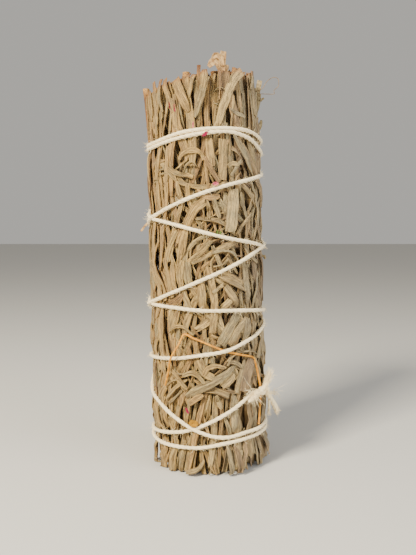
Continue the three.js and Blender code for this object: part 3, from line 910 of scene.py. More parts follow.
# Leaves that lie on top at the front, lowest first: the kind, width, tone, section, tilt, and the
# places from root to tip, as points of the camera's picture.
frontLeaves = [
    ("cut", 2.7, 0.55, "flat", 0.1, [(171, 112), (167, 96), (163, 79)]),
    ("cut", 2.2, 0.6, "ridge", 0.2, [(158, 125), (155, 104), (153, 82)]),
    ("cut", 1.7, 0.75, "ridge", -0.2, [(162, 112), (160, 95), (160, 79)]),
    ("cut", 2.0, 0.85, "ridge", -0.2, [(248, 120), (247, 98), (246, 74)]),
    ("cut", 2.4, 0.55, "flat", 0.3, [(256, 116), (255, 94), (253, 72)]),
    ("cut", 1.8, 0.9, "ridge", -0.3, [(258, 124), (259, 108), (259, 92)]),
    ("cut", 2.4, 0.8, "flat", 0.2, [(194, 117), (200, 98), (206, 76)]),
    ("cut", 2.0, 0.6, "ridge", 0.3, [(186, 100), (189, 86), (192, 73)]),
    ("cut", 1.6, 0.55, "ridge", 0.2, [(177, 136), (176, 118), (173, 98)]),
    ("cut", 3.4, 0.1, "cupped", 0.0, [(225, 98), (225, 84), (226, 71)]),
    ("cut", 1.0, 0.05, "tube", 0.0, [(220, 90), (220, 80), (220, 70)]),
    ("cut", 1.3, 1.0, "trough", 0.5, [(212, 100), (214, 86), (217, 72)]),
    ("cut", 1.5, 0.5, "rolled", 0.2, [(200, 80), (198, 70), (197, 61)]),
    ("cut", 2.2, 0.6, "flat", 0.2, [(203, 88), (204, 77), (205, 67)]),
    ("cut", 1.8, 0.5, "ridge", 0.0, [(187, 88), (186, 78), (185, 71)]),
    ("cut", 2.8, 0.3, "flat", 0.0, [(235, 90), (237, 77), (238, 67)]),
    ("cut", 1.8, 0.7, "ridge", 0.0, [(253, 90), (254, 80), (254, 71)]),
    ("cut", 3.4, 0.5, "flat", -0.2, [(188, 111), (181, 95), (173, 78)]),
    ("hook", 0.9, 0.8, "flat", 1.2, [(215, 91), (219, 88), (224, 90), (225, 97)]),
    ("hook", 0.8, 0.7, "flat", 1.1, [(214, 100), (216, 103), (220, 105)]),
    ("cut", 3.0, 1.0, "flat", 0.1, [(217, 127), (223, 108), (228, 92), (234, 79), (243, 71)]),
    ("strap", 1.2, 0.75, "ridge", 0.4, [(229, 109), (236, 113), (244, 117)]),
    ("strap", 2.6, 0.5, "flat", -0.2, [(209, 138), (210, 150), (212, 166)]),
    ("strap", 3.0, 0.55, "flat", 0.0, [(223, 138), (224, 158), (223, 180)]),
    ("lance", 2.6, 0.85, "ridge", 0.2, [(235, 134), (247, 155), (256, 176)]),
    ("lance", 1.8, 0.6, "ridge", -0.2, [(250, 132), (254, 150), (259, 168)]),
    ("strap", 2.0, 0.5, "flat", -0.3, [(167, 146), (166, 164), (165, 182)]),
    ("hook", 2.2, 0.55, "flat", 0.6, [(177, 160), (182, 153), (191, 150), (200, 152), (204, 160)]),
    ("hook", 1.6, 0.5, "flat", 0.6, [(152, 170), (155, 163), (165, 160)]),
    ("hook", 1.1, 0.8, "flat", 0.8, [(153, 184), (155, 174), (159, 170), (164, 169)]),
    ("hook", 0.9, 0.7, "flat", 0.8, [(156, 186), (158, 178), (161, 174), (166, 173)]),
    ("strap", 2.3, 0.6, "trough", 0.6, [(167, 169), (178, 175), (187, 176), (192, 178)]),
    ("strap", 1.6, 0.15, "ridge", 0.3, [(204, 156), (212, 170), (220, 182)]),
    ("hook", 1.1, 0.9, "flat", 0.9, [(181, 172), (185, 165), (192, 162), (197, 167)]),
    ("strap", 1.3, 0.9, "ridge", 0.3, [(244, 160), (238, 168), (233, 176)]),
    ("strap", 1.4, 0.95, "flat", -0.3, [(229, 166), (234, 163), (240, 164)]),
    ("strap", 1.4, 0.35, "ridge", 0.5, [(233, 146), (238, 151), (242, 156)]),
    ("scrap", 2.2, 0.3, "flat", 0.2, [(196, 190), (206, 197), (221, 196)]),
    ("strap", 2.4, 0.5, "flat", 0.1, [(157, 142), (157, 160), (156, 180)]),
    ("lance", 2.6, 0.5, "flat", 0.0, [(157, 181), (158, 202), (158, 224)]),
    ("lance", 2.4, 0.45, "ridge", 0.2, [(166, 181), (165, 204), (163, 228)]),
    ("lance", 2.0, 0.6, "ridge", 0.2, [(177, 181), (180, 202), (178, 222)]),
    ("lance", 1.8, 0.55, "flat", 0.3, [(188, 184), (187, 196), (190, 208)]),
    ("lance", 2.4, 0.85, "flat", -0.3, [(227, 192), (229, 212), (228, 234)]),
    ("lance", 1.8, 0.7, "ridge", 0.3, [(243, 192), (246, 206), (249, 220)]),
    ("lance", 1.6, 0.9, "ridge", 0.4, [(254, 184), (257, 204), (258, 226)]),
    ("strap", 3.0, 0.5, "flat", 0.2, [(206, 201), (196, 207), (190, 216), (184, 228), (178, 244)]),
    ("lance", 2.2, 0.65, "trough", 0.7, [(195, 219), (208, 220), (220, 222), (230, 229), (241, 238)]),
    ("strap", 1.4, 0.5, "ridge", -0.2, [(238, 235), (245, 224), (253, 213)]),
    ("lance", 3.0, 0.5, "flat", 0.1, [(154, 220), (153, 240), (152, 264)]),
    ("lance", 2.2, 0.55, "ridge", 0.1, [(172, 228), (171, 244), (168, 262)]),
    ("lance", 3.0, 0.5, "flat", -0.1, [(185, 230), (182, 246), (177, 264)]),
    ("lance", 2.6, 0.4, "flat", -0.1, [(163, 226), (161, 246), (158, 270)]),
    ("lance", 2.0, 0.45, "ridge", 0.0, [(156, 232), (156, 248), (154, 266)]),
    ("lance", 2.0, 0.6, "flat", 0.3, [(176, 230), (170, 246), (165, 266)]),
    ("lance", 1.7, 0.5, "ridge", 0.2, [(184, 234), (181, 250), (177, 266)]),
    ("lance", 1.8, 0.7, "ridge", 0.3, [(214, 199), (217, 208), (220, 218)]),
    ("lance", 1.6, 0.6, "trough", 0.3, [(209, 219), (209, 209), (207, 200)]),
    ("strap", 3.8, 0.9, "flat", 0.0, [(235, 188), (233, 210), (230, 232)]),
    ("strap", 2.0, 0.6, "ridge", 0.3, [(212, 240), (201, 252), (188, 263)]),
    ("hook", 1.3, 0.8, "flat", 0.9, [(211, 254), (222, 251), (233, 253), (240, 261)]),
    ("hook", 0.8, 0.9, "flat", 1.2, [(214, 267), (224, 265), (229, 259)]),
    ("strap", 1.6, 0.95, "trough", 0.7, [(192, 264), (201, 260), (212, 254)]),
    ("strap", 1.5, 0.7, "ridge", 0.2, [(246, 244), (251, 254), (258, 262)]),
    ("cut", 4.0, 0.55, "cupped", 0.2, [(216, 273), (230, 279), (248, 288)]),
    ("lance", 3.2, 0.8, "flat", 0.0, [(187, 262), (187, 274), (188, 288)]),
    ("strap", 2.4, 0.55, "flat", 0.2, [(208, 266), (212, 284), (215, 308), (212, 333)]),
    ("lance", 3.0, 0.6, "ridge", 0.1, [(200, 280), (202, 295), (203, 312)]),
    ("strap", 4.2, 0.5, "flat", 0.0, [(152, 258), (157, 276), (164, 302)]),
    ("strap", 3.2, 0.6, "flat", 0.1, [(153, 262), (152, 280), (153, 300)]),
    ("lance", 2.4, 0.5, "flat", 0.0, [(172, 262), (172, 278), (175, 296)]),
    ("lance", 2.4, 0.6, "flat", 0.1, [(182, 260), (180, 275), (180, 292)]),
    ("strap", 2.4, 0.5, "flat", 0.0, [(164, 258), (167, 276), (171, 298)]),
    ("lance", 3.0, 0.55, "flat", 0.0, [(152, 303), (153, 322), (155, 344)]),
    ("lance", 2.8, 0.5, "flat", 0.1, [(161, 305), (162, 324), (163, 345)]),
    ("lance", 2.4, 0.6, "flat", -0.1, [(171, 306), (171, 322), (172, 340)]),
    ("lance", 2.4, 0.5, "flat", 0.0, [(155, 360), (155, 380), (157, 398)]),
    ("lance", 2.2, 0.55, "flat", 0.1, [(158, 400), (161, 418), (166, 434)]),
    ("lance", 2.6, 0.5, "flat", 0.0, [(151, 322), (152, 345), (151, 368)]),
    ("lance", 2.4, 0.55, "flat", 0.1, [(164, 338), (163, 357), (164, 376)]),
    ("lance", 2.6, 0.45, "flat", 0.0, [(152, 366), (153, 388), (154, 410)]),
    ("lance", 2.2, 0.5, "flat", 0.0, [(152, 404), (154, 420), (157, 436)]),
    ("lance", 2.2, 0.45, "flat", -0.1, [(170, 382), (169, 398), (171, 414)]),
    ("scrap", 2.4, 0.12, "flat", 0.1, [(169, 305), (176, 301), (183, 295)]),
    ("lance", 3.2, 0.45, "flat", 0.0, [(160, 284), (159, 300), (158, 318)]),
    ("lance", 2.6, 0.55, "ridge", 0.2, [(226, 286), (233, 296), (240, 307)]),
    ("strap", 1.3, 0.9, "ridge", 0.3, [(224, 285), (218, 289), (213, 293)]),
    ("lance", 2.2, 0.85, "ridge", 0.3, [(260, 270), (258, 288), (255, 308)]),
    ("lance", 2.2, 0.7, "flat", -0.3, [(246, 262), (247, 284), (250, 304)]),
    ("lance", 2.2, 0.55, "ridge", 0.2, [(178, 304), (176, 318), (170, 334)]),
    ("strap", 4.0, 0.85, "flat", 0.2, [(240, 314), (230, 330), (221, 345)]),
    ("strap", 2.6, 0.95, "ridge", 0.1, [(248, 317), (239, 330), (231, 345)]),
    ("strap", 3.6, 1.0, "flat", 0.1, [(263, 316), (262, 336), (260, 358)]),
    ("hook", 1.5, 0.6, "flat", 0.9, [(170, 332), (176, 327), (184, 328), (192, 336)]),
    ("hook", 2.4, 0.25, "cupped", 0.3, [(187, 346), (188, 362), (180, 376), (173, 366)]),
    ("lance", 1.8, 0.5, "ridge", 0.1, [(195, 338), (196, 354), (195, 371)]),
    ("lance", 2.4, 0.85, "flat", -0.2, [(246, 318), (247, 334), (244, 350)]),
    ("lance", 2.0, 0.55, "ridge", 0.2, [(158, 334), (157, 352), (160, 370)]),
    ("strap", 2.6, 0.6, "flat", 0.4, [(199, 360), (204, 372), (213, 378)]),
    ("lance", 2.6, 0.7, "ridge", 0.2, [(238, 394), (242, 376), (246, 360)]),
    ("strap", 3.6, 0.12, "flat", 0.0, [(252, 357), (248, 374), (244, 392)]),
    ("strap", 2.2, 0.6, "trough", 0.3, [(203, 391), (216, 392), (230, 397)]),
    ("scrap", 3.2, 1.0, "flat", 0.0, [(222, 387), (229, 381), (235, 374)]),
    ("lance", 3.0, 0.8, "ridge", 0.1, [(185, 396), (200, 389), (214, 382), (227, 374), (236, 365)]),
    ("hook", 0.8, 1.0, "flat", 1.2, [(227, 362), (232, 357), (239, 355)]),
    ("scrap", 2.2, 0.95, "cupped", 0.2, [(216, 396), (219, 403), (222, 410)]),
    ("lance", 2.8, 0.85, "flat", 0.1, [(235, 396), (235, 414), (234, 433)]),
    ("hook", 1.1, 0.7, "flat", 1.1, [(174, 366), (177, 374), (183, 374), (186, 368)]),
    ("lance", 1.6, 0.6, "ridge", 0.4, [(166, 400), (172, 391), (179, 384), (187, 380)]),
    ("lance", 1.2, 0.75, "ridge", 0.5, [(169, 404), (175, 396), (182, 389)]),
    ("hook", 0.9, 0.6, "flat", 1.1, [(165, 391), (170, 383), (176, 380), (181, 384)]),
    ("lance", 2.2, 0.55, "trough", 0.3, [(187, 389), (182, 383), (176, 374), (170, 366)]),
    ("hook", 0.8, 0.9, "flat", 1.0, [(228, 366), (231, 358), (240, 353), (250, 351), (258, 354)]),
    ("scrap", 1.8, 0.9, "cupped", 0.2, [(229, 362), (236, 363), (243, 368)]),
    ("lance", 1.4, 0.5, "ridge", 0.4, [(203, 376), (207, 369), (216, 366), (226, 368)]),
    ("lance", 1.6, 0.65, "ridge", 0.3, [(183, 376), (190, 373), (197, 376), (205, 384)]),
    ("scrap", 2.0, 0.4, "flat", 0.3, [(190, 404), (196, 399), (203, 396)]),
    ("lance", 2.0, 0.5, "ridge", 0.2, [(168, 372), (164, 388), (160, 404)]),
    ("cut", 2.2, 0.6, "ridge", 0.2, [(176, 438), (174, 456), (174, 477)]),
    ("cut", 2.4, 0.5, "flat", 0.2, [(166, 440), (165, 455), (165, 474)]),
    ("lance", 2.0, 0.65, "ridge", 0.2, [(157, 438), (157, 452), (160, 470)]),
    ("lance", 1.8, 0.7, "ridge", 0.3, [(183, 440), (182, 458), (179, 478)]),
    ("cut", 1.7, 0.55, "flat", -0.2, [(200, 446), (202, 462), (204, 480)]),
    ("cut", 2.2, 0.8, "ridge", 0.3, [(228, 444), (230, 458), (231, 476)]),
    ("hook", 1.8, 0.9, "flat", 0.7, [(188, 471), (198, 469), (205, 461)]),
]


frontLie = {"points": 24, "uneven": 0.08, "lift": (0, 0.1, 0.2), "sink": 0.3, "wave": 0.12}


def layFront(random):
    for kind, width, tone, section, tilt, seen in frontLeaves:
        places = np.array([seenAt(*point) for point in seen]) * (circle, 1)
        route = smoothThrough(places, frontLie["points"])
        turns = tilt + random.normal(0, frontLie["uneven"], 3)
        lift, sink, wave = (frontLie[trait] for trait in ("lift", "sink", "wave"))
        layLeaf(route, width, kind, leafSections[section], turns, random, lift, sink, tone, wave)


layFront(leafRandom)
print("leaves are laid:", len(laidLeaves))


stringLook = {
    "radius": 0.63,
    "bed": 17.85,  # radius of the leaves it lies on
    "leftBed": 1.0,  # how much further out it lies low down on the -X side
    "leftFades": (60, 100),
    "step": 0.6,
    "reach": 3.0,  # how far it presses the leaves down beside it
    "twist": 5.6,  # length of a turn of the plies
    "ply": 0.41,
    "spread": 0.22,  # from the string's middle to a ply's
    "overLap": 1.25,  # how near a lap has to be to ride over another
    "overStalk": (0.9, 4),  # rise over the stalk, and from how far
}
stringRoute = [  # turn, counted on from lap to lap, and height
    (37, 25.4), (52, 23.5), (69, 20.5), (90, 17.0), (107, 14.5), (139, 12.1), (174, 10.9),
    (225, 10.8), (270, 11.0), (315, 11.4), (360, 11.6),
    (376, 11.4), (418, 10.7), (440, 9.9), (459, 8.8), (478, 8.4), (503, 8.3), (535, 9.1),
    (585, 10.6), (630, 12.2), (680, 13.2), (720, 13.4),
    (737, 13.3), (772, 12.8), (800, 12.0), (811, 12.6), (821, 13.8), (836, 16.0), (849, 18.3),
    (866, 21.4),
    (884, 23.8), (900, 27.0), (945, 36.0), (990, 43.5), (1035, 47.5), (1080, 50.2),
    (1096, 50.7), (1149, 52.0), (1175, 52.1), (1205, 52.8), (1238, 53.3),
    (1260, 54.4), (1305, 59.0), (1350, 64.0), (1395, 68.0), (1440, 71.0),
    (1464, 72.0), (1478, 72.8), (1512, 74.7), (1543, 77.2), (1568, 79.3), (1592, 80.8),
    (1620, 83.2), (1665, 88.5), (1710, 94.0), (1755, 98.6), (1800, 101.6),
    (1819, 102.6), (1845, 105.8), (1862, 107.0), (1890, 106.5), (1918, 105.0), (1931, 104.2),
    (1949, 103.3),
    (1980, 103.4), (2025, 103.3), (2070, 103.8), (2115, 104.7), (2160, 105.6),
    (2180, 106.4), (2205, 107.9), (2222, 108.1), (2250, 107.7), (2278, 106.4), (2291, 105.4),
    (2308, 104.5),
    (2340, 104.7), (2385, 102.0), (2430, 99.2), (2475, 97.2), (2520, 96.0),
    (2540, 94.7), (2563, 92.9), (2586, 91.1), (2616, 88.0), (2647, 84.1), (2672, 80.9),
    (2700, 78.5), (2745, 76.2), (2790, 75.2), (2835, 74.6), (2880, 73.4),
    (2904, 71.6), (2936, 67.3), (2965, 63.1), (3004, 57.6), (3038, 53.4),
    (3060, 51.6), (3105, 49.2), (3150, 48.0), (3195, 47.4), (3240, 46.8),
    (3257, 45.8), (3289, 42.2), (3315, 39.5), (3338, 38.1), (3361, 36.8), (3398, 35.6),
    (3420, 35.2), (3465, 33.2), (3510, 31.0), (3555, 28.8), (3600, 26.9), (3630, 25.6),
]
stringWiden = [  # near the two sides the string runs further round than its route: turn, added turn
    (0, -8), (15, -8), (24, -5), (40, -2.5), (60, -1), (90, 0), (120, 1), (140, 2.5), (156, 5),
    (165, 8), (180, 8), (225, 0), (315, 0), (360, -8),
]
stringStarts, stringStops = (40, 100), (3500, 3580)  # between these turns the widening comes and goes


def windString():
    turns = np.arange(stringRoute[0][0], stringRoute[-1][0], stringLook["step"] / circle)
    heights = smoothLine(stringRoute, turns)[:, 0]
    added = np.interp(turns % 360, *zip(*stringWiden))
    atEnds = smoothstep(turns, *stringStarts) * (1 - smoothstep(turns, *stringStops))
    return turns + added * atEnds, heights


stringSteps, stringHeights = windString()


def stringBed(turn, z):
    further = stringLook["leftBed"] * leftness(turn)
    return stringLook["bed"] + further * (1 - smoothstep(z, *stringLook["leftFades"]))


def stringPress():
    # how near the string is, 1 under it and 0 out of its reach
    near = np.zeros((pile["turns"], pile["levels"]))
    cellsWide = round(stringLook["reach"] / pile["step"])
    reach = np.arange(-cellsWide, cellsWide + 1)
    away = np.hypot(*np.meshgrid(reach, reach, indexing="ij")) * pile["step"]
    close = 1 - smoothstep(away, 0.4, stringLook["reach"])
    for turn, z in zip(stringSteps, stringHeights):
        across, level = cells(np.array(turn * circle), np.array(z))
        window = np.ix_((across + reach) % pile["turns"], level + reach)
        near[window] = np.maximum(near[window], close)
    return near


settling = {
    "under": 0.35,  # how far the smoothed leaves stay within their reach
    "bumps": (0.22, 5.0),  # height and breadth
    "seed": 7,
    "crown": (6, 116),  # the pile falls off at the cut ends, so its crown is read between these
    "crownBlur": (3, 2.2),  # cells each way, and blur
    "pressBlur": (2, 0.7),
    "softness": 0.35,
    "least": 0.5,  # the string squeezes the leaves no further
}


def settlePile():
    # squeezes the pile to its real thickness, and presses it down under the string
    core = bundle["coreRadius"]
    levels = np.arange(pile["levels"])
    z = (pile["foot"] + (levels + 0.5) * pile["step"])[None, :]
    turns = np.arange(pile["turns"])[:, None] * pile["step"] / circle
    crown = topOf(pile["height"], *settling["crownBlur"])
    inside = np.clip(levels, *[round((z - pile["foot"]) / pile["step"]) for z in settling["crown"]])
    crown = crown[:, inside]
    height, breadth = settling["bumps"]
    bumps = softened(np.random.default_rng(settling["seed"]).normal(size=crown.shape), breadth)
    target = reachAt(turns, z) - settling["under"] + height * bumps / bumps.std()
    squeeze = (target - core) / (crown - core)
    local = topOf(core + (pile["height"] - core) * squeeze, *settling["pressBlur"])
    press = np.clip((stringBed(turns, z) - core) / (local - core), settling["least"], 1)
    near = stringPress()
    return softened(squeeze * (1 - near + near * press), settling["softness"])


pile["squeeze"] = settlePile()


def settled(radius, turn, level):  # where a radius of the loose pile comes to lie
    core = bundle["coreRadius"]
    return core + (radius - core) * pile["squeeze"][turn, level]


def softSurface(turn, z):  # the radius of the highest leaf there
    place = cells(turn * circle, z)
    return settled(pile["height"][place], *place)


print("pile is settled")


burntLook = {"zone": (-2.4, -0.4), "share": 0.75}  # heights from the cut


def burntRim(corners):
    # the cut tops are brown at the rim
    return smoothstep(corners[:, 2] - topHeight(corners[:, 0]), *burntLook["zone"]) * burntLook["share"]


def laidSheets(sprig):
    # the laid leaves of a sprig, each with its mesh and what its finish reads
    low, high = bundle["coreRadius"], bundle["leafReach"]
    sheets = []
    for number, leaf in enumerate(laidLeaves):
        if leaf["sprig"] != sprig:
            continue
        radius = settled(leaf["radius"], *cells(leaf["u"], leaf["z"]))
        corners = onBundle(leaf["u"] / circle, radius, leaf["z"]).reshape(-1, 3)
        across, along = leaf["place"]
        sheets.append({
            "corners": corners,
            "faces": leaf["faces"],
            "tone": np.full(radius.size, leaf["tone"]),
            # how deep the leaf lies, which the finish paints as shade
            "depth": np.clip((radius - low) / (high - low), 0, 1).ravel(),
            "side": leaf["side"].ravel(),
            "place": np.stack([across.ravel(), along.ravel(), np.full(radius.size, number * 3.7)], -1),
            "burnt": burntRim(corners),
        })
    return sheets


stemLook = {
    "sides": 14,
    "reach": 12.0,
    "foot": 0.4,
    "heads": [1.5, 0.4, 2.6, 0.8, 0.5, 1.0, 0.2, 1.2],  # how high each ends over the cut, less 1
    "thickness": [1.5, 1.25, 1.6, 1.3, 1.45, 1.2, 1.55, 1.35],
    "taper": 0.3,
    "steps": 14,
    "bark": 0.1,
    "rim": 0.16,  # the cut end's rim and its pith, as shares of the thickness
    "pith": 0.3,
    "cutDepth": 0.12,
}


def shareMiddle(sprig, z):
    return (seamTurn(sprig, z) + seamTurn(sprig + 1, z)) / 2


def stemLine(turnAt, radius, thickness, head, phase):
    along = np.linspace(0, 1, stemLook["steps"])
    z = stemLook["foot"] + (head - stemLook["foot"]) * along
    sway = 0.5 * np.sin(5.3 * along + phase)
    turns = np.array([turnAt(level) for level in z])
    return onBundle(turns, radius + sway, z), thickness * (1 - stemLook["taper"] * along)


def sprigStemLine(sprig):
    x = onBundle(shareMiddle(sprig, 120.0), stemLook["reach"], 120.0)[0]
    head = topHeight(x) - 1 + stemLook["heads"][sprig]
    turnAt = functools.partial(shareMiddle, sprig)
    return stemLine(turnAt, stemLook["reach"], stemLook["thickness"][sprig], head, sprig)


heartStem = {"turn": 215, "radius": 3.4, "thickness": 1.4, "phase": 2}


def heartStemLine():
    head = bundle["standingHeight"] - 0.5
    look = heartStem
    return stemLine(lambda z: look["turn"], look["radius"], look["thickness"], head, look["phase"])


sideStem = {
    "route": [(171, 17.1, 97), (171, 17.5, 104), (171, 18.0, 112), (171, 18.7, 122.6)],
    "thickness": [0.75, 0.9, 0.95, 1.05],
}


def sideStemLine():
    turn, radius, z = np.array(sideStem["route"], float).T
    levels = np.linspace(z[0], z[-1], 9)
    line = onBundle(np.interp(levels, z, turn), np.interp(levels, z, radius), levels)
    return line, np.interp(levels, z, sideStem["thickness"])


def buildStem(name, line, thickness, seed):
    # a round is extruded up the stem's line, roughened to bark, and sunk at the cut ends
    line = line * mm
    stem = startRound(name, stemLook["sides"], thickness[0] * mm, line[0])
    for before, after, thin, thick in zip(line, line[1:], thickness[1:], thickness):
        extrudeBy(after - before)
        bpy.ops.transform.resize(value=(thin / thick, thin / thick, 1), center_override=tuple(after))
    bpy.ops.mesh.inset(thickness=thickness[-1] * stemLook["rim"] * mm)
    bpy.ops.mesh.inset(thickness=thickness[-1] * stemLook["pith"] * mm, depth=-stemLook["cutDepth"] * mm)
    roughen(stemLook["bark"] * mm, seed)
    faceOutwards()
    leaveEditing()
    ends = stem.data.attributes.new("cutEnd", "FLOAT", "POINT")
    levels = np.array([vertex.co.z for vertex in stem.data.vertices])
    top = levels > line[-1][2] - 0.3 * mm
    ends.data.foreach_set("value", (top | (levels < line[0][2] + 0.3 * mm)).astype(np.float32))
    stem.data.materials.append(sageWood)
    return smoothed(stem, 40)


stemLines = {f"sprig_{k + 1}_stem": sprigStemLine(k) for k in range(bundle["sprigs"])}
stemLines["heart_stem"] = heartStemLine()
stemLines["side_stem"] = sideStemLine()
for number, (node, stemPlan) in enumerate(stemLines.items(), 1):
    standsFor(buildStem(node + "_bark", *stemPlan, number), "sage_wood", node)
print("stems are grown")


cutEnds = {
    "count": 330,
    "narrow": (150, 0.75),  # the leaves after this many are narrower
    "reach": 15.6,
    "field": 44,  # breadth of the square in which they are placed
    "cell": 0.2,  # and of one of its cells
    "width": (1.6, 5.0),
    "curl": (0.3, 3.4),
    "length": (8, 12),
    "cut": (3.0, 1.6),  # how uneven they end at the top and the foot
    "ragged": 0.22,
    "rows": 5,
    "columns": 7,
    "tries": 30,
    "room": 0.22,  # round a leaf and, next, round a stem
    "stemRoom": 0.25,
    "facing": (0.5, 1.2),  # how much they turn out of line at the rim, and more in the middle
    "lean": 0.02,
    "wander": 0.05,
    "shade": 7,  # depth below the cut at which a leaf's painted shade is at its darkest
    "tone": (0.42, 0.25),
    "burnt": 0.8,
    "seed": 97,
}


def gridCells(spots):
    return np.round(spots / cutEnds["cell"]).astype(int) + int(cutEnds["field"] / 2 / cutEnds["cell"])


def blocked(taken, spots):
    i, j = gridCells(np.concatenate([spots, (spots[1:] + spots[:-1]) / 2])).T
    return taken[i, j].any()


def block(taken, spots, radius):
    reach = int(radius / cutEnds["cell"]) + 1
    di, dj = np.meshgrid(np.arange(-reach, reach + 1), np.arange(-reach, reach + 1))
    near = np.hypot(di, dj) * cutEnds["cell"] <= radius
    for i, j in gridCells(spots):
        taken[(i + di[near]).clip(0, len(taken) - 1), (j + dj[near]).clip(0, len(taken) - 1)] = True


def standingPlan(random, number, side):
    # a curved strip of the cut face: its spots, its width and the reach and turn of its middle
    reach = cutEnds["reach"] * math.sqrt(random.random())
    turn = random.uniform(0, 2 * math.pi)
    many, share = cutEnds["narrow"]
    width = random.uniform(*cutEnds["width"]) * (share if number > many else 1)
    bend = random.uniform(*cutEnds["curl"]) / width
    atRim, inMiddle = cutEnds["facing"]
    askew = atRim + inMiddle * (1 - reach / cutEnds["reach"])
    facing = turn + math.pi / 2 + random.normal(0, askew)
    angle = side * width / 2 * bend
    a, b = np.sin(angle) / bend, (1 - np.cos(angle)) / bend * random.choice([-1, 1])
    x = reach * math.cos(turn) + a * math.cos(facing) - b * math.sin(facing)
    y = -reach * math.sin(turn) + a * math.sin(facing) + b * math.cos(facing)
    return np.stack([x, y], -1), width, (reach, turn)


def standingLeaves(random, atTop):
    # thin curved leaves that stand upright and don't cross in the cut face
    span = int(cutEnds["field"] / cutEnds["cell"])
    taken = np.zeros((span, span), bool)
    level = bundle["standingHeight"] - 2 if atTop else 2.0
    for line, thickness in stemLines.values():
        near = np.argmin(np.abs(line[:, 2] - level))
        if abs(line[near, 2] - level) < 8:
            middle = line[near][None, :2] - (axisX(level), 0)
            block(taken, middle, thickness[near] + cutEnds["stemRoom"])
    sheets = []
    columns = cutEnds["columns"]
    side = np.linspace(-1, 1, columns)
    dense = np.linspace(0, columns - 1, 25)
    for number in range(cutEnds["count"]):
        for _ in range(cutEnds["tries"]):
            spots, width, centre = standingPlan(random, number, side)
            fits = np.hypot(*spots.T).max() < cutEnds["reach"] + 0.8
            if fits and not blocked(taken, spots):
                break
        else:
            continue
        strip = np.stack([np.interp(dense, np.arange(columns), part) for part in spots.T], -1)
        block(taken, strip, cutEnds["room"])
        sheets.append(standingSheet(random, number, spots, side, width, atTop, centre))
    return sheets


def standingSheet(random, number, spots, side, width, atTop, centre):
    rows = np.linspace(0, 1, cutEnds["rows"])[:, None]
    topCut, footCut = cutEnds["cut"]
    if atTop:
        high = topHeight(spots[:, 0].mean() + axisX(120)) - random.uniform(0, 1) ** 2 * topCut
        low = high - random.uniform(*cutEnds["length"])
    else:
        low = random.uniform(0, 1) ** 2 * footCut
        high = low + random.uniform(*cutEnds["length"])
    z = low + (high - low) * rows + 0 * side[None, :]
    ragged = np.abs(random.normal(0, cutEnds["ragged"], len(side)))
    z[-1 if atTop else 0] += ragged * (-1 if atTop else 1)
    sunk = (high - z) if atTop else (z - low)
    shrink = 1 - cutEnds["lean"] * sunk
    wander = random.normal(0, cutEnds["wander"], 2)
    x = spots[:, 0] * shrink + wander[0] * sunk + axisX(z)
    y = spots[:, 1] * shrink + wander[1] * sunk
    corners = np.stack([x, y, z], -1).reshape(-1, 3)
    columns = len(side)
    i, j = np.meshgrid(np.arange(len(rows) - 1), np.arange(columns - 1), indexing="ij")
    a = (i * columns + j).ravel()
    place = np.stack([side[None, :] * width / 2 + 0 * z, z - low, 0 * z + number * 5.3 + 400], -1)
    reach, turn = centre
    inHeart = reach < bundle["heartRadius"]
    return {
        "corners": corners,
        "faces": np.stack([a, a + 1, a + columns + 1, a + columns], -1),
        "tone": np.full(z.size, float(np.clip(random.normal(*cutEnds["tone"]), 0, 1))),
        # painted shade: a leaf is darker the further it sits below the cut face
        "depth": np.clip(1 - sunk / cutEnds["shade"], 0, 1).ravel() * 0.95,
        "side": (side[None, :] + 0 * z).ravel(),
        "place": place.reshape(-1, 3),
        "burnt": burntRim(corners) * random.uniform(0, cutEnds["burnt"]),
        "sprig": -1 if inHeart else sprigAt(math.degrees(turn), float(z.mean())),
    }


endRandom = np.random.default_rng(cutEnds["seed"])
endSheets = standingLeaves(endRandom, True) + standingLeaves(endRandom, False)
print("cut ends are filled:", len(endSheets))


packed = {
    "across": 12,
    "up": 60,
    "ridge": 0.5,
    "lump": 0.25,
    "gap": 0.008,  # share of its breadth that is left free at each side
    "foot": 1.5,
    "underTop": 9.0,
    "overlap": 0.4,
    "seed": 5,
}
packedRandom = np.random.default_rng(packed["seed"])


def packedWedge(sprig):
    # a grid is bent round the bundle, ridged, and extruded in towards the middle
    bpy.ops.object.select_all(action="DESELECT")
    across, up = packed["across"], packed["up"]
    bpy.ops.mesh.primitive_grid_add(x_subdivisions=across, y_subdivisions=up, size=2)
    wedge = bpy.context.object
    flat = np.array([vertex.co for vertex in wedge.data.vertices])
    share, along = (flat[:, 0] + 1) / 2, (flat[:, 1] + 1) / 2
    low, high = packed["foot"], bundle["standingHeight"] - packed["underTop"]
    z = low + (high - low) * along
    first, last = seamTurn(sprig, z), seamTurn(sprig + 1, z)
    turn = first + (last - first) * (packed["gap"] + (1 - 2 * packed["gap"]) * share)
    ridges = packedRandom.normal(size=across + 1)[np.round(share * across).astype(int)]
    lumps = packedRandom.normal(0, packed["lump"], len(z))
    outer = bundle["coreRadius"] + 0.3
    radius = outer - packed["ridge"] * np.abs(ridges) - np.abs(lumps)
    bpy.ops.object.mode_set(mode="EDIT")
    bpy.ops.mesh.select_all(action="SELECT")
    bpy.ops.mesh.extrude_region_move()
    bpy.ops.object.mode_set(mode="OBJECT")
    starts = {tuple(np.round(co, 4)): index for index, co in enumerate(flat)}
    deep = onBundle(turn, bundle["heartRadius"] + packed["overlap"], z)
    proud = onBundle(turn, radius, z)
    for index, vertex in enumerate(wedge.data.vertices):
        start = starts[tuple(np.round(np.array(vertex.co), 4))]
        vertex.co = (deep if index < len(z) else proud)[start] * mm
    return wedge


def joinSheets(name, sheets, finish):
    def together(part):
        return np.concatenate([sheet[part] for sheet in sheets])

    parts = {"Tone": "tone", "Depth": "depth", "Side": "side", "Place": "place", "Burnt": "burnt"}
    numbers = {"leaf" + label: together(part) for label, part in parts.items()}
    corners, faces = joined([(sheet["corners"], sheet["faces"]) for sheet in sheets])
    piece = makePiece(name, corners, faces, finish, numbers)
    return applied(piece, "SOLIDIFY", thickness=0.26 * mm, offset=1)
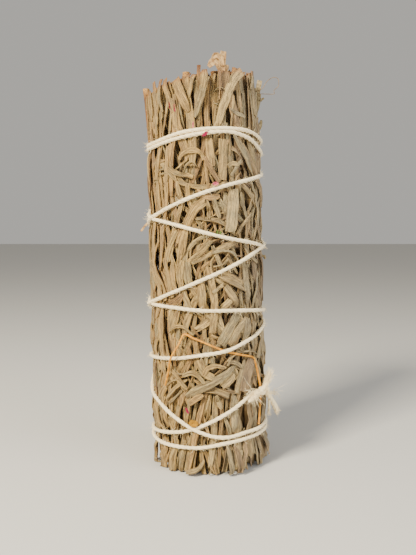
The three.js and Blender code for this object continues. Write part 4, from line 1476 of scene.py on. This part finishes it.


# painted shade: depth 0 paints the packed leaves in full shade, so the gaps between leaves show dark
deepestLeaves = {"leafTone": 0.3, "leafDepth": 0.0, "leafSide": 0.6, "leafBurnt": 0.0}


def addPacked(piece, wedge, finish):
    # marks the wedge as the deepest leaves, painted in full shade, turns its faces outwards, and joins it to
    # the piece
    for label, value in deepestLeaves.items():
        data = wedge.data.attributes.new(label, "FLOAT", "POINT").data
        data.foreach_set("value", np.full(len(wedge.data.vertices), value, np.float32))
    place = np.array([vertex.co for vertex in wedge.data.vertices], np.float32) / mm
    wedge.data.attributes.new("leafPlace", "FLOAT_VECTOR", "POINT").data.foreach_set("vector", place.ravel())
    wedge.data.materials.append(finish)
    workOn(wedge)
    bpy.ops.object.mode_set(mode="EDIT")
    faceOutwards()
    bpy.ops.object.mode_set(mode="OBJECT")
    workOn(piece)
    wedge.select_set(True)
    bpy.ops.object.join()
    return piece


def buildFoliage(sprig):
    sheets = laidSheets(sprig) + [sheet for sheet in endSheets if sheet["sprig"] == sprig]
    piece = joinSheets(f"sprig_{sprig + 1}_foliage", sheets, sageLeaf)
    addPacked(piece, packedWedge(sprig), sageLeaf)
    standsFor(smoothed(piece, 50), "sage_leaf", f"sprig_{sprig + 1}_leaves")


heartLook = {"sides": 28, "steps": 20, "underTop": 8.0, "rough": 0.3}


def buildHeart():
    # cut leaves at both ends, on a core that is extruded up the leaning axis
    sheets = [sheet for sheet in endSheets if sheet["sprig"] < 0]
    piece = joinSheets("heart_foliage", sheets, innerLeaf)
    core = startRound("packed", heartLook["sides"], bundle["heartRadius"] * mm)
    high = bundle["standingHeight"] - heartLook["underTop"]
    rise = high / heartLook["steps"]
    for _ in range(heartLook["steps"]):
        extrudeBy((axisX(rise) * mm, 0, rise * mm))
    pick(core.data, lambda co: 1 * mm < co.z < (high - 1) * mm)
    bpy.ops.transform.vertex_random(offset=heartLook["rough"] * mm, seed=3)
    leaveEditing()
    addPacked(piece, core, innerLeaf)
    standsFor(smoothed(piece, 50), "inner_leaf", "heart_leaves")


for sprig in range(bundle["sprigs"]):
    buildFoliage(sprig)
buildHeart()
print("foliage is built")


stalkLook = {
    "radius": 0.35,
    "rest": 19.15,  # radius at which it lies on the leaves
    "sharpBend": (4, 0.15, 0.1),  # place in its route, length, and added share of its thickness
}
stalkRoute = [  # turn, height, lift over the leaves
    (138, 27.5, 0.1), (131, 32.6, 0.7), (124, 37.3, 2.3), (118, 41.6, 0.9), (113.5, 44.6, 0.1),
    (105, 43.6, 0), (97, 42.6, 0), (85, 40.9, 0), (75, 39.5, -0.4), (60.5, 38.1, -0.4), (43.5, 36.6, 0),
    (39.5, 34.4, 0), (34.5, 29.5, 0), (31.5, 25.3, 0), (33, 20.4, 0), (36, 14.4, 0),
]
stalkUnderString = smoothThrough([place[:2] for place in stalkRoute[4:]], 90)


def hump(distance, height, spread):  # a rise over something that is crossed
    return height * (1 - smoothstep(np.abs(distance), 0.25, spread))


def stringLine():
    # each lap rides over the laps wound before it, and over the stalk
    lift = np.zeros(len(stringSteps))
    crossing = 2 * stringLook["radius"] - 0.35
    laps = int(stringRoute[-1][0] / 360)
    for back in range(1, laps + 1):
        under = stringSteps - back * 360
        known = under >= stringSteps[0]
        gap = stringHeights - np.interp(under, stringSteps, stringHeights)
        lift = np.maximum(lift, np.where(known, hump(gap, crossing, stringLook["overLap"]), 0))
    across = (stringSteps[:, None] - stalkUnderString[None, :, 0] + 180) % 360 - 180
    rise = stringHeights[:, None] - stalkUnderString[None, :, 1]
    away = np.hypot(across * circle, rise).min(axis=1)
    lift = rowSoftened(np.maximum(lift, hump(away, *stringLook["overStalk"])), 3)
    bed = stringBed(stringSteps, stringHeights)
    return onBundle(stringSteps, bed + stringLook["radius"] + lift, stringHeights)


def sideways(line):
    # outwards and across, square to a line at each of its points
    ahead = np.gradient(line, axis=0)
    ahead /= np.linalg.norm(ahead, axis=1)[:, None]
    outward = line - np.stack([axisX(line[:, 2]), 0 * line[:, 1], line[:, 2]], -1)
    outward -= (outward * ahead).sum(1)[:, None] * ahead
    outward /= np.linalg.norm(outward, axis=1)[:, None]
    return outward, np.cross(ahead, outward)


def tube(line, radius, sides):  # closed at both ends
    outward, across = sideways(line)
    angle = (np.arange(sides) * 2 * math.pi / sides)[None, :, None]
    ring = np.cos(angle) * outward[:, None] + np.sin(angle) * across[:, None]
    corners = (line[:, None] + np.reshape(radius, (-1, 1, 1)) * ring).reshape(-1, 3)
    i, j = np.meshgrid(np.arange(len(line) - 1), np.arange(sides), indexing="ij")
    a, b = i * sides + j, i * sides + (j + 1) % sides
    faces = np.stack([a, b, b + sides, a + sides], -1).reshape(-1, 4).tolist()
    faces.append(list(range(sides))[::-1])
    faces.append([(len(line) - 1) * sides + k for k in range(sides)])
    return corners, faces


def plies(line, thick, count=3, sides=7):
    # strands twisted round a line; thick is the share of the string's thickness along it
    outward, across = sideways(line)
    run = np.concatenate([[0], np.cumsum(np.linalg.norm(np.diff(line, axis=0), axis=1))])
    uneven = thick * (1 + 0.05 * np.sin(run * 0.9) + 0.04 * np.sin(run * 0.37 + 2))
    strands, place = [], []
    for ply in range(count):
        angle = 2 * math.pi * (ply / count + run / stringLook["twist"])
        away = np.cos(angle)[:, None] * outward + np.sin(angle)[:, None] * across
        centre = line + (stringLook["spread"] * uneven)[:, None] * away
        strands.append(tube(centre, stringLook["ply"] * uneven, sides))
        around = np.tile(np.arange(sides) * 0.4, len(line))
        place.append(np.stack([around, np.repeat(run, sides), np.full(len(around), ply * 9.1)], -1))
    return joined(strands), np.concatenate(place)


# The string's cut ends: turn, radius, height and the share of its thickness at each place.
stringEnds = [
    [
        (30, 20.3, 25.2, 1.1), (24, 20.7, 23.4, 1.35), (18, 21.2, 21.2, 1.5), (13, 21.9, 18.8, 1.55),
        (10.5, 22.4, 16.9, 1.2),
    ],
    [(28, 20.3, 25.0, 0.8), (22, 20.6, 22.6, 0.85), (19, 20.4, 19.8, 0.75), (18.5, 20.1, 16.6, 0.5)],
    [(33, 20.3, 26.0, 1.2), (27, 20.7, 27.3, 1.2), (23, 20.9, 28.8, 0.9), (20, 21.0, 30.2, 0.5)],
    [(36, 20.3, 25.4, 1.0), (42, 20.2, 25.0, 1.5), (48, 20.0, 23.8, 1.3), (52, 19.8, 22.8, 0.7)],
]
knot = {"turn": 34.5, "radius": 20.4, "height": 25.6, "size": 0.4, "string": 0.55, "points": 72}

# Tufts of loose fibres: where they are rooted, where they point, how many there are, their least
# and greatest length, how much they spread and how much they curl.
tufts = [
    ((31, 20.8, 26.4), (18.5, 21.1, 31.4), 260, (1.8, 3.8), 0.24, 0.25),
    ((37, 20.6, 26.2), (53, 20.0, 22.8), 330, (1.2, 3.0), 0.35, 0.5),
    ((33, 20.9, 26.6), (26, 21.6, 23.6), 120, (0.8, 2.0), 0.6, 0.5),
    ((13, 22.0, 18.8), (9.5, 22.6, 15.6), 110, (0.9, 1.8), 0.3, 0.3),
    ((20, 21.2, 23.4), (6, 22.8, 23.3), 40, (1.2, 2.6), 0.45, 0.9),
    ((18.7, 20.3, 18.6), (18, 20.2, 15.6), 30, (0.8, 2.0), 0.3, 0.3),
    ((46, 20.2, 26.6), (56, 19.9, 26.4), 12, (2.0, 3.2), 0.4, 1.2),
]
fuzz = {
    "seed": 23,
    "count": 3000,
    "length": (0.4, 1.7),
    "radius": 0.028,
    "tuftRadius": 0.05,
    "around": 1.9,  # on the side of the string that faces outwards
    "curl": 0.4,
}


def drawn(name, lines, radius, finish, slot, nodes=(), fine=0, closed=False):
    # lines are places and the share of the radius at each, drawn as bevelled curves and made a mesh
    curve = bpy.data.curves.new(name, "CURVE")
    curve.dimensions = "3D"
    curve.bevel_depth = radius * mm
    curve.bevel_resolution = fine
    curve.use_fill_caps = True
    for places, shares in lines:
        spline = curve.splines.new("POLY")
        spline.points.add(len(places) - 1)
        spline.points.foreach_set("co", np.insert(places * mm, 3, 1, axis=1).ravel())
        spline.points.foreach_set("radius", shares)
        spline.use_cyclic_u = closed
    piece = bpy.data.objects.new(name, curve)
    bpy.context.collection.objects.link(piece)
    workOn(piece)
    bpy.ops.object.convert(target="MESH")
    piece = bpy.context.object
    piece.data.materials.clear()
    piece.data.materials.append(finish)
    standsFor(smoothed(piece, 80), slot, *nodes)


def fibre(random, root, heading, length, curl):
    steps = np.linspace(0, 1, 4)
    side = np.cross(heading, random.normal(size=3))
    side /= np.linalg.norm(side)
    bend = curl * length * (steps**2)[:, None] * side
    waver = random.normal(0, 0.05 * length, (4, 3)) * steps[:, None]
    places = root + length * steps[:, None] * heading + bend + waver
    return places, np.array([1.0, 0.9, 0.75, 0.4])


def tuftFibres(random, root, tip, count, length, spread, curl):
    root, tip = onBundle(*root), onBundle(*tip)
    lines = []
    for _ in range(count):
        start = root + (tip - root) * random.uniform(0, 0.6) + random.normal(0, 0.3, 3)
        heading = (tip - root) / np.linalg.norm(tip - root) + random.normal(0, spread, 3)
        heading /= np.linalg.norm(heading)
        lines.append(fibre(random, start, heading, random.uniform(*length), curl * random.normal()))
    return lines


def fuzzFibres(random, line):
    outward, across = sideways(line)
    ahead = np.cross(outward, across)
    lines = []
    for place in random.integers(2, len(line) - 2, fuzz["count"]):
        angle = random.uniform(-fuzz["around"], fuzz["around"])
        away = math.cos(angle) * outward[place] + math.sin(angle) * across[place]
        heading = away * random.uniform(0.25, 1) + ahead[place] * random.normal(0, 0.8)
        heading += random.normal(0, 0.2, 3)
        heading /= np.linalg.norm(heading)
        root = line[place] + away * stringLook["radius"] * 0.8
        length = random.uniform(*fuzz["length"])
        lines.append(fibre(random, root, heading, length, random.normal(0, fuzz["curl"])))
    return lines


def knotLine():  # an overhand knot that lies flat on the bundle
    t = np.linspace(0, 2 * math.pi, knot["points"], endpoint=False)
    right = np.sin(t) + 2 * np.sin(2 * t)
    up = np.cos(t) - 2 * np.cos(2 * t)
    out = -np.sin(3 * t)
    size = knot["size"]
    turn = knot["turn"] - right * size / circle
    return onBundle(turn, knot["radius"] + out * size, knot["height"] + up * size * 0.85)


def buildString(path):
    parts = [plies(path, np.ones(len(path)))]
    for end in stringEnds:
        *places, thick = smoothThrough(end, 16).T
        parts.append(plies(onBundle(*places), thick))
    corners, faces = joined([shape for shape, _ in parts])
    numbers = {"plyPlace": np.concatenate([place for _, place in parts])}
    piece = makePiece("cotton_string_plies", corners, faces, cotton, numbers)
    standsFor(smoothed(piece, 80), "cotton", "cotton_string")
    knotLines = [(knotLine(), np.ones(knot["points"]))]
    nodes = ["cotton_string"]
    drawn("string_knot", knotLines, knot["string"], cottonFluff, "cotton", nodes, fine=3, closed=True)
    random = np.random.default_rng(fuzz["seed"])
    lines = [line for tuft in tufts for line in tuftFibres(random, *tuft)]
    drawn("string_tufts", lines, fuzz["tuftRadius"], cottonFluff, "cotton")
    drawn("string_fuzz", fuzzFibres(random, path), fuzz["radius"], cottonFluff, "cotton")


buildString(stringLine())
print("string is wound and knotted")


def buildStalk():
    count = 120
    turn, z, lift = smoothThrough(stalkRoute, count).T
    marks = np.linspace(0, len(stalkRoute) - 1, count)
    bend, length, added = stalkLook["sharpBend"]
    shares = 0.95 + 0.12 * np.sin(marks * 1.7) + added * np.exp(-((marks - bend) / length) ** 2)
    line = onBundle(turn, stalkLook["rest"] + lift, z)
    drawn("dry_stalk", [(line, shares)], stalkLook["radius"], straw, "straw", ["grass_stalk"], fine=2)


buildStalk()
print("stalk is laid")


petalLook = {
    "sides": 12,
    "inset": 0.35,
    "cupped": (0.12, 0.04),  # how far each inset sinks
    "rough": 0.26,
    "depth": 0.8,
    "thickness": 0.14,
}
# Petals: the node, turn, height, radius, width, length, tilt, finish and slot.
petals = [
    ("petal_yellow", 106.5, 16.6, 19.5, 3.1, 2.3, 0.3, yellowPetal, "yellow_petal"),
    ("petal_pink_1", 89, 106.1, 19.5, 0.9, 2.4, -0.9, pinkPetal, "pink_petal"),
    ("petal_pink_2", 80.5, 91.2, 19.2, 1.9, 1.2, 0.2, fadedPetal, "pink_petal"),
    ("petal_pink_3", 112.5, 20.5, 19.3, 0.7, 2.1, 0.45, pinkPetal, "pink_petal"),
]


def buildPetal(seed, node, turn, z, radius, width, length, tilt, finish, slot):
    # a round, cupped by its inset middle, roughened, and thickened
    petal = startRound(node + "_scrap", petalLook["sides"], 1)
    for depth in petalLook["cupped"]:
        bpy.ops.mesh.inset(thickness=petalLook["inset"], depth=-depth)
    bpy.ops.mesh.poke()
    roughen(petalLook["rough"], seed)
    bpy.ops.object.mode_set(mode="OBJECT")
    right = np.array([math.sin(math.radians(turn)), math.cos(math.radians(turn)), 0])
    for vertex in petal.data.vertices:
        a, b, c = vertex.co
        across, up = turnedBy(tilt, a * width / 2, b * length / 2)
        vertex.co = (onBundle(turn, radius + c * petalLook["depth"], z + up) + across * right) * mm
    petal.data.materials.append(finish)
    applied(petal, "SOLIDIFY", thickness=petalLook["thickness"] * mm, offset=0)
    standsFor(smoothed(petal, 60), slot, node)


for seed, petal in enumerate(petals, 3):
    buildPetal(seed, *petal)
print("petals are scattered")


# Leaf pieces that stand clear of the bundle: kind, width, section, tilt about their line, and
# places as turn, radius, height.
curledTip = [
    ("strap", 2.3, "cupped", 0, [(70.5, 17, 117), (70.5, 17.5, 123), (70.4, 17.7, 127), (69, 17.9, 131.2)]),
    ("scrap", 2.6, "flat", 0, [(71, 17.4, 124.8), (73.5, 17.7, 127.4), (78, 17.9, 128.4), (84, 17.6, 126.4)]),
    ("scrap", 1.9, "cupped", 0, [(70, 17.9, 126.8), (72, 18.1, 129), (77, 18.1, 129.8), (80, 17.8, 128.8)]),
    ("strap", 1.6, "rolled", 0, [(69, 17.4, 121), (66.5, 17.6, 124.5), (64.5, 17.8, 127.3)]),
    ("strap", 0.9, "rolled", 0.8, [(178, 18, 80.8), (178, 19.4, 79.4), (178, 20.6, 78.2), (178, 21.8, 76.6)]),
]
leafScraps = [
    ("scrap", 1.3, "cupped", 1.2, [(7, 17.2, 67.4), (6, 18.0, 68.3), (4, 18.8, 68.6), (3, 19.3, 67.4)]),
    ("cut", 1.7, "flat", 1.4, [(8, 17.3, 118.6), (6, 17.7, 121), (5, 18.1, 123.4), (5, 18.6, 125.6)]),
    ("scrap", 1.6, "flat", 1.4, [(6, 17.2, 115.2), (5, 17.6, 117.3), (4, 18.0, 119.4), (4, 18.5, 121.3)]),
    ("scrap", 0.8, "cupped", 1.3, [(4, 18.6, 119.0), (4, 19.0, 119.4), (3, 19.4, 119.8), (3, 19.9, 120.0)]),
    ("scrap", 1.1, "flat", 1.3, [(5, 18.2, 109.8), (5, 18.5, 110.9), (4, 18.7, 112.0), (4, 18.9, 112.9)]),
]
looseLook = {"thickness": 0.24, "crumple": 3}


def sweptLeaf(number, kind, width, section, tilt, line):
    # a blank bent along a line in space, its face outwards
    blank = blanks[kind][number % leafBlankRough["variants"]]
    centre = onBundle(*smoothThrough(line, len(blank["along"])).T)
    outward, across = sideways(centre)
    _, wide, rise = bent(blank, width, leafSections[section], looseLook["crumple"])
    face, back = turnedBy(tilt, wide, rise)
    corners = centre[:, None] + face[..., None] * across[:, None] + back[..., None] * outward[:, None]
    return corners.reshape(-1, 3), blank["faces"]


def buildLooseLeaves(name, leaves, first, finish):
    sheets = [sweptLeaf(number, *leaf) for number, leaf in enumerate(leaves, first)]
    piece = makePiece(name, *joined(sheets), finish)
    applied(piece, "SOLIDIFY", thickness=looseLook["thickness"] * mm, offset=0)
    standsFor(smoothed(piece, 60), "sage_leaf")


buildLooseLeaves("curled_leaf_tip", curledTip, 0, tanTip)
buildLooseLeaves("leaf_scraps", leafScraps, len(curledTip), scrapTip)


crumbLook = {"sides": 7, "proud": 0.1, "thickness": 0.008, "length": 1.5, "rough": 0.12}
# Crumbs of petal and green leaf caught among the leaves: turn, height, size and finish.
crumbs = [
    (124.9, 115.1, 0.7, pinkPetal), (117.4, 114.0, 0.8, pinkPetal), (100.2, 108.5, 0.7, fadedPetal),
    (54.5, 114.2, 0.6, pinkPetal), (27.4, 73.5, 0.8, pinkPetal), (79.2, 76.0, 0.6, greenCrumb),
    (75.9, 75.7, 0.6, greenCrumb),
]


def buildCrumb(number, turn, z, size, finish):
    # a round, squeezed, roughened and laid on whatever is highest there
    place = onBundle(turn, softSurface(turn, z) + crumbLook["proud"], z) * mm
    turned = (math.radians(90), 0, math.radians(turn - 90))
    crumb = startRound(f"crumb_{number}", crumbLook["sides"], size / 2 * mm, place, turned)
    extrudeBy(place * crumbLook["thickness"])
    bpy.ops.mesh.select_all(action="SELECT")
    bpy.ops.transform.resize(value=(1, 1, crumbLook["length"]))
    roughen(crumbLook["rough"] * mm, number)
    faceOutwards()
    leaveEditing()
    crumb.data.materials.append(finish)
    standsFor(crumb, "sage_leaf" if finish is greenCrumb else "pink_petal")


for number, crumb in enumerate(crumbs, 1):
    buildCrumb(number, *crumb)


looseFibre = [  # turn, radius, height
    (8, 17.2, 121.8), (8, 19.4, 122.8), (8, 21.1, 125.2), (8, 23.2, 126.3), (8, 24.6, 125.6),
    (8, 24.6, 123.5), (8, 23.2, 122.1), (8, 23.2, 121.0), (8, 21.1, 121.0), (8, 19.1, 121.1),
    (8, 17.6, 121.0),
]
fibreLook = {"radius": 0.1, "points": 60}
fibreLine = onBundle(*smoothThrough(looseFibre, fibreLook["points"]).T)
fibreShares = np.ones(fibreLook["points"])
drawn("loose_fibre", [(fibreLine, fibreShares)], fibreLook["radius"], curlyFibre, "straw", fine=1)
print("loose scraps are placed")


stage = {
    "floor": hue(206, 203, 197),
    "sky": hue(232, 229, 222),
    "skyPower": 0.58,
    "aim": (0, 0, 0.065),  # what the lights point at
    "lights": [  # name, place, size, power and colour
        ("key", (-0.3, -0.4, 0.42), 0.16, 9.9, (1.0, 0.925, 0.75)),
        ("fill", (0.5, -0.35, 0.2), 0.5, 4.2, (0.92, 0.96, 1.0)),
    ],
}


def addStage():
    finish = Finish("pale floor", 0.9)
    finish.use(Base_Color=stage["floor"])
    bpy.ops.mesh.primitive_plane_add(size=6, location=(0, 0, -0.0002))
    floor = bpy.context.object
    floor.name = "floor"
    floor.data.materials.append(finish.material)
    world = bpy.data.worlds.new("studio")
    bpy.context.scene.world = world
    world.use_nodes = True
    background = world.node_tree.nodes["Background"]
    background.inputs["Color"].default_value = (*stage["sky"], 1)
    background.inputs["Strength"].default_value = stage["skyPower"]


def addLight(name, place, size, power, colour):
    bpy.ops.object.light_add(type="AREA", location=place)
    light = bpy.context.object
    light.name = name
    light.data.size = size
    light.data.energy = power
    light.data.color = colour
    aim = Vector(stage["aim"]) - light.location
    light.rotation_euler = aim.to_track_quat("-Z", "Y").to_euler()


addStage()
for light in stage["lights"]:
    addLight(*light)
print("stage is lit")
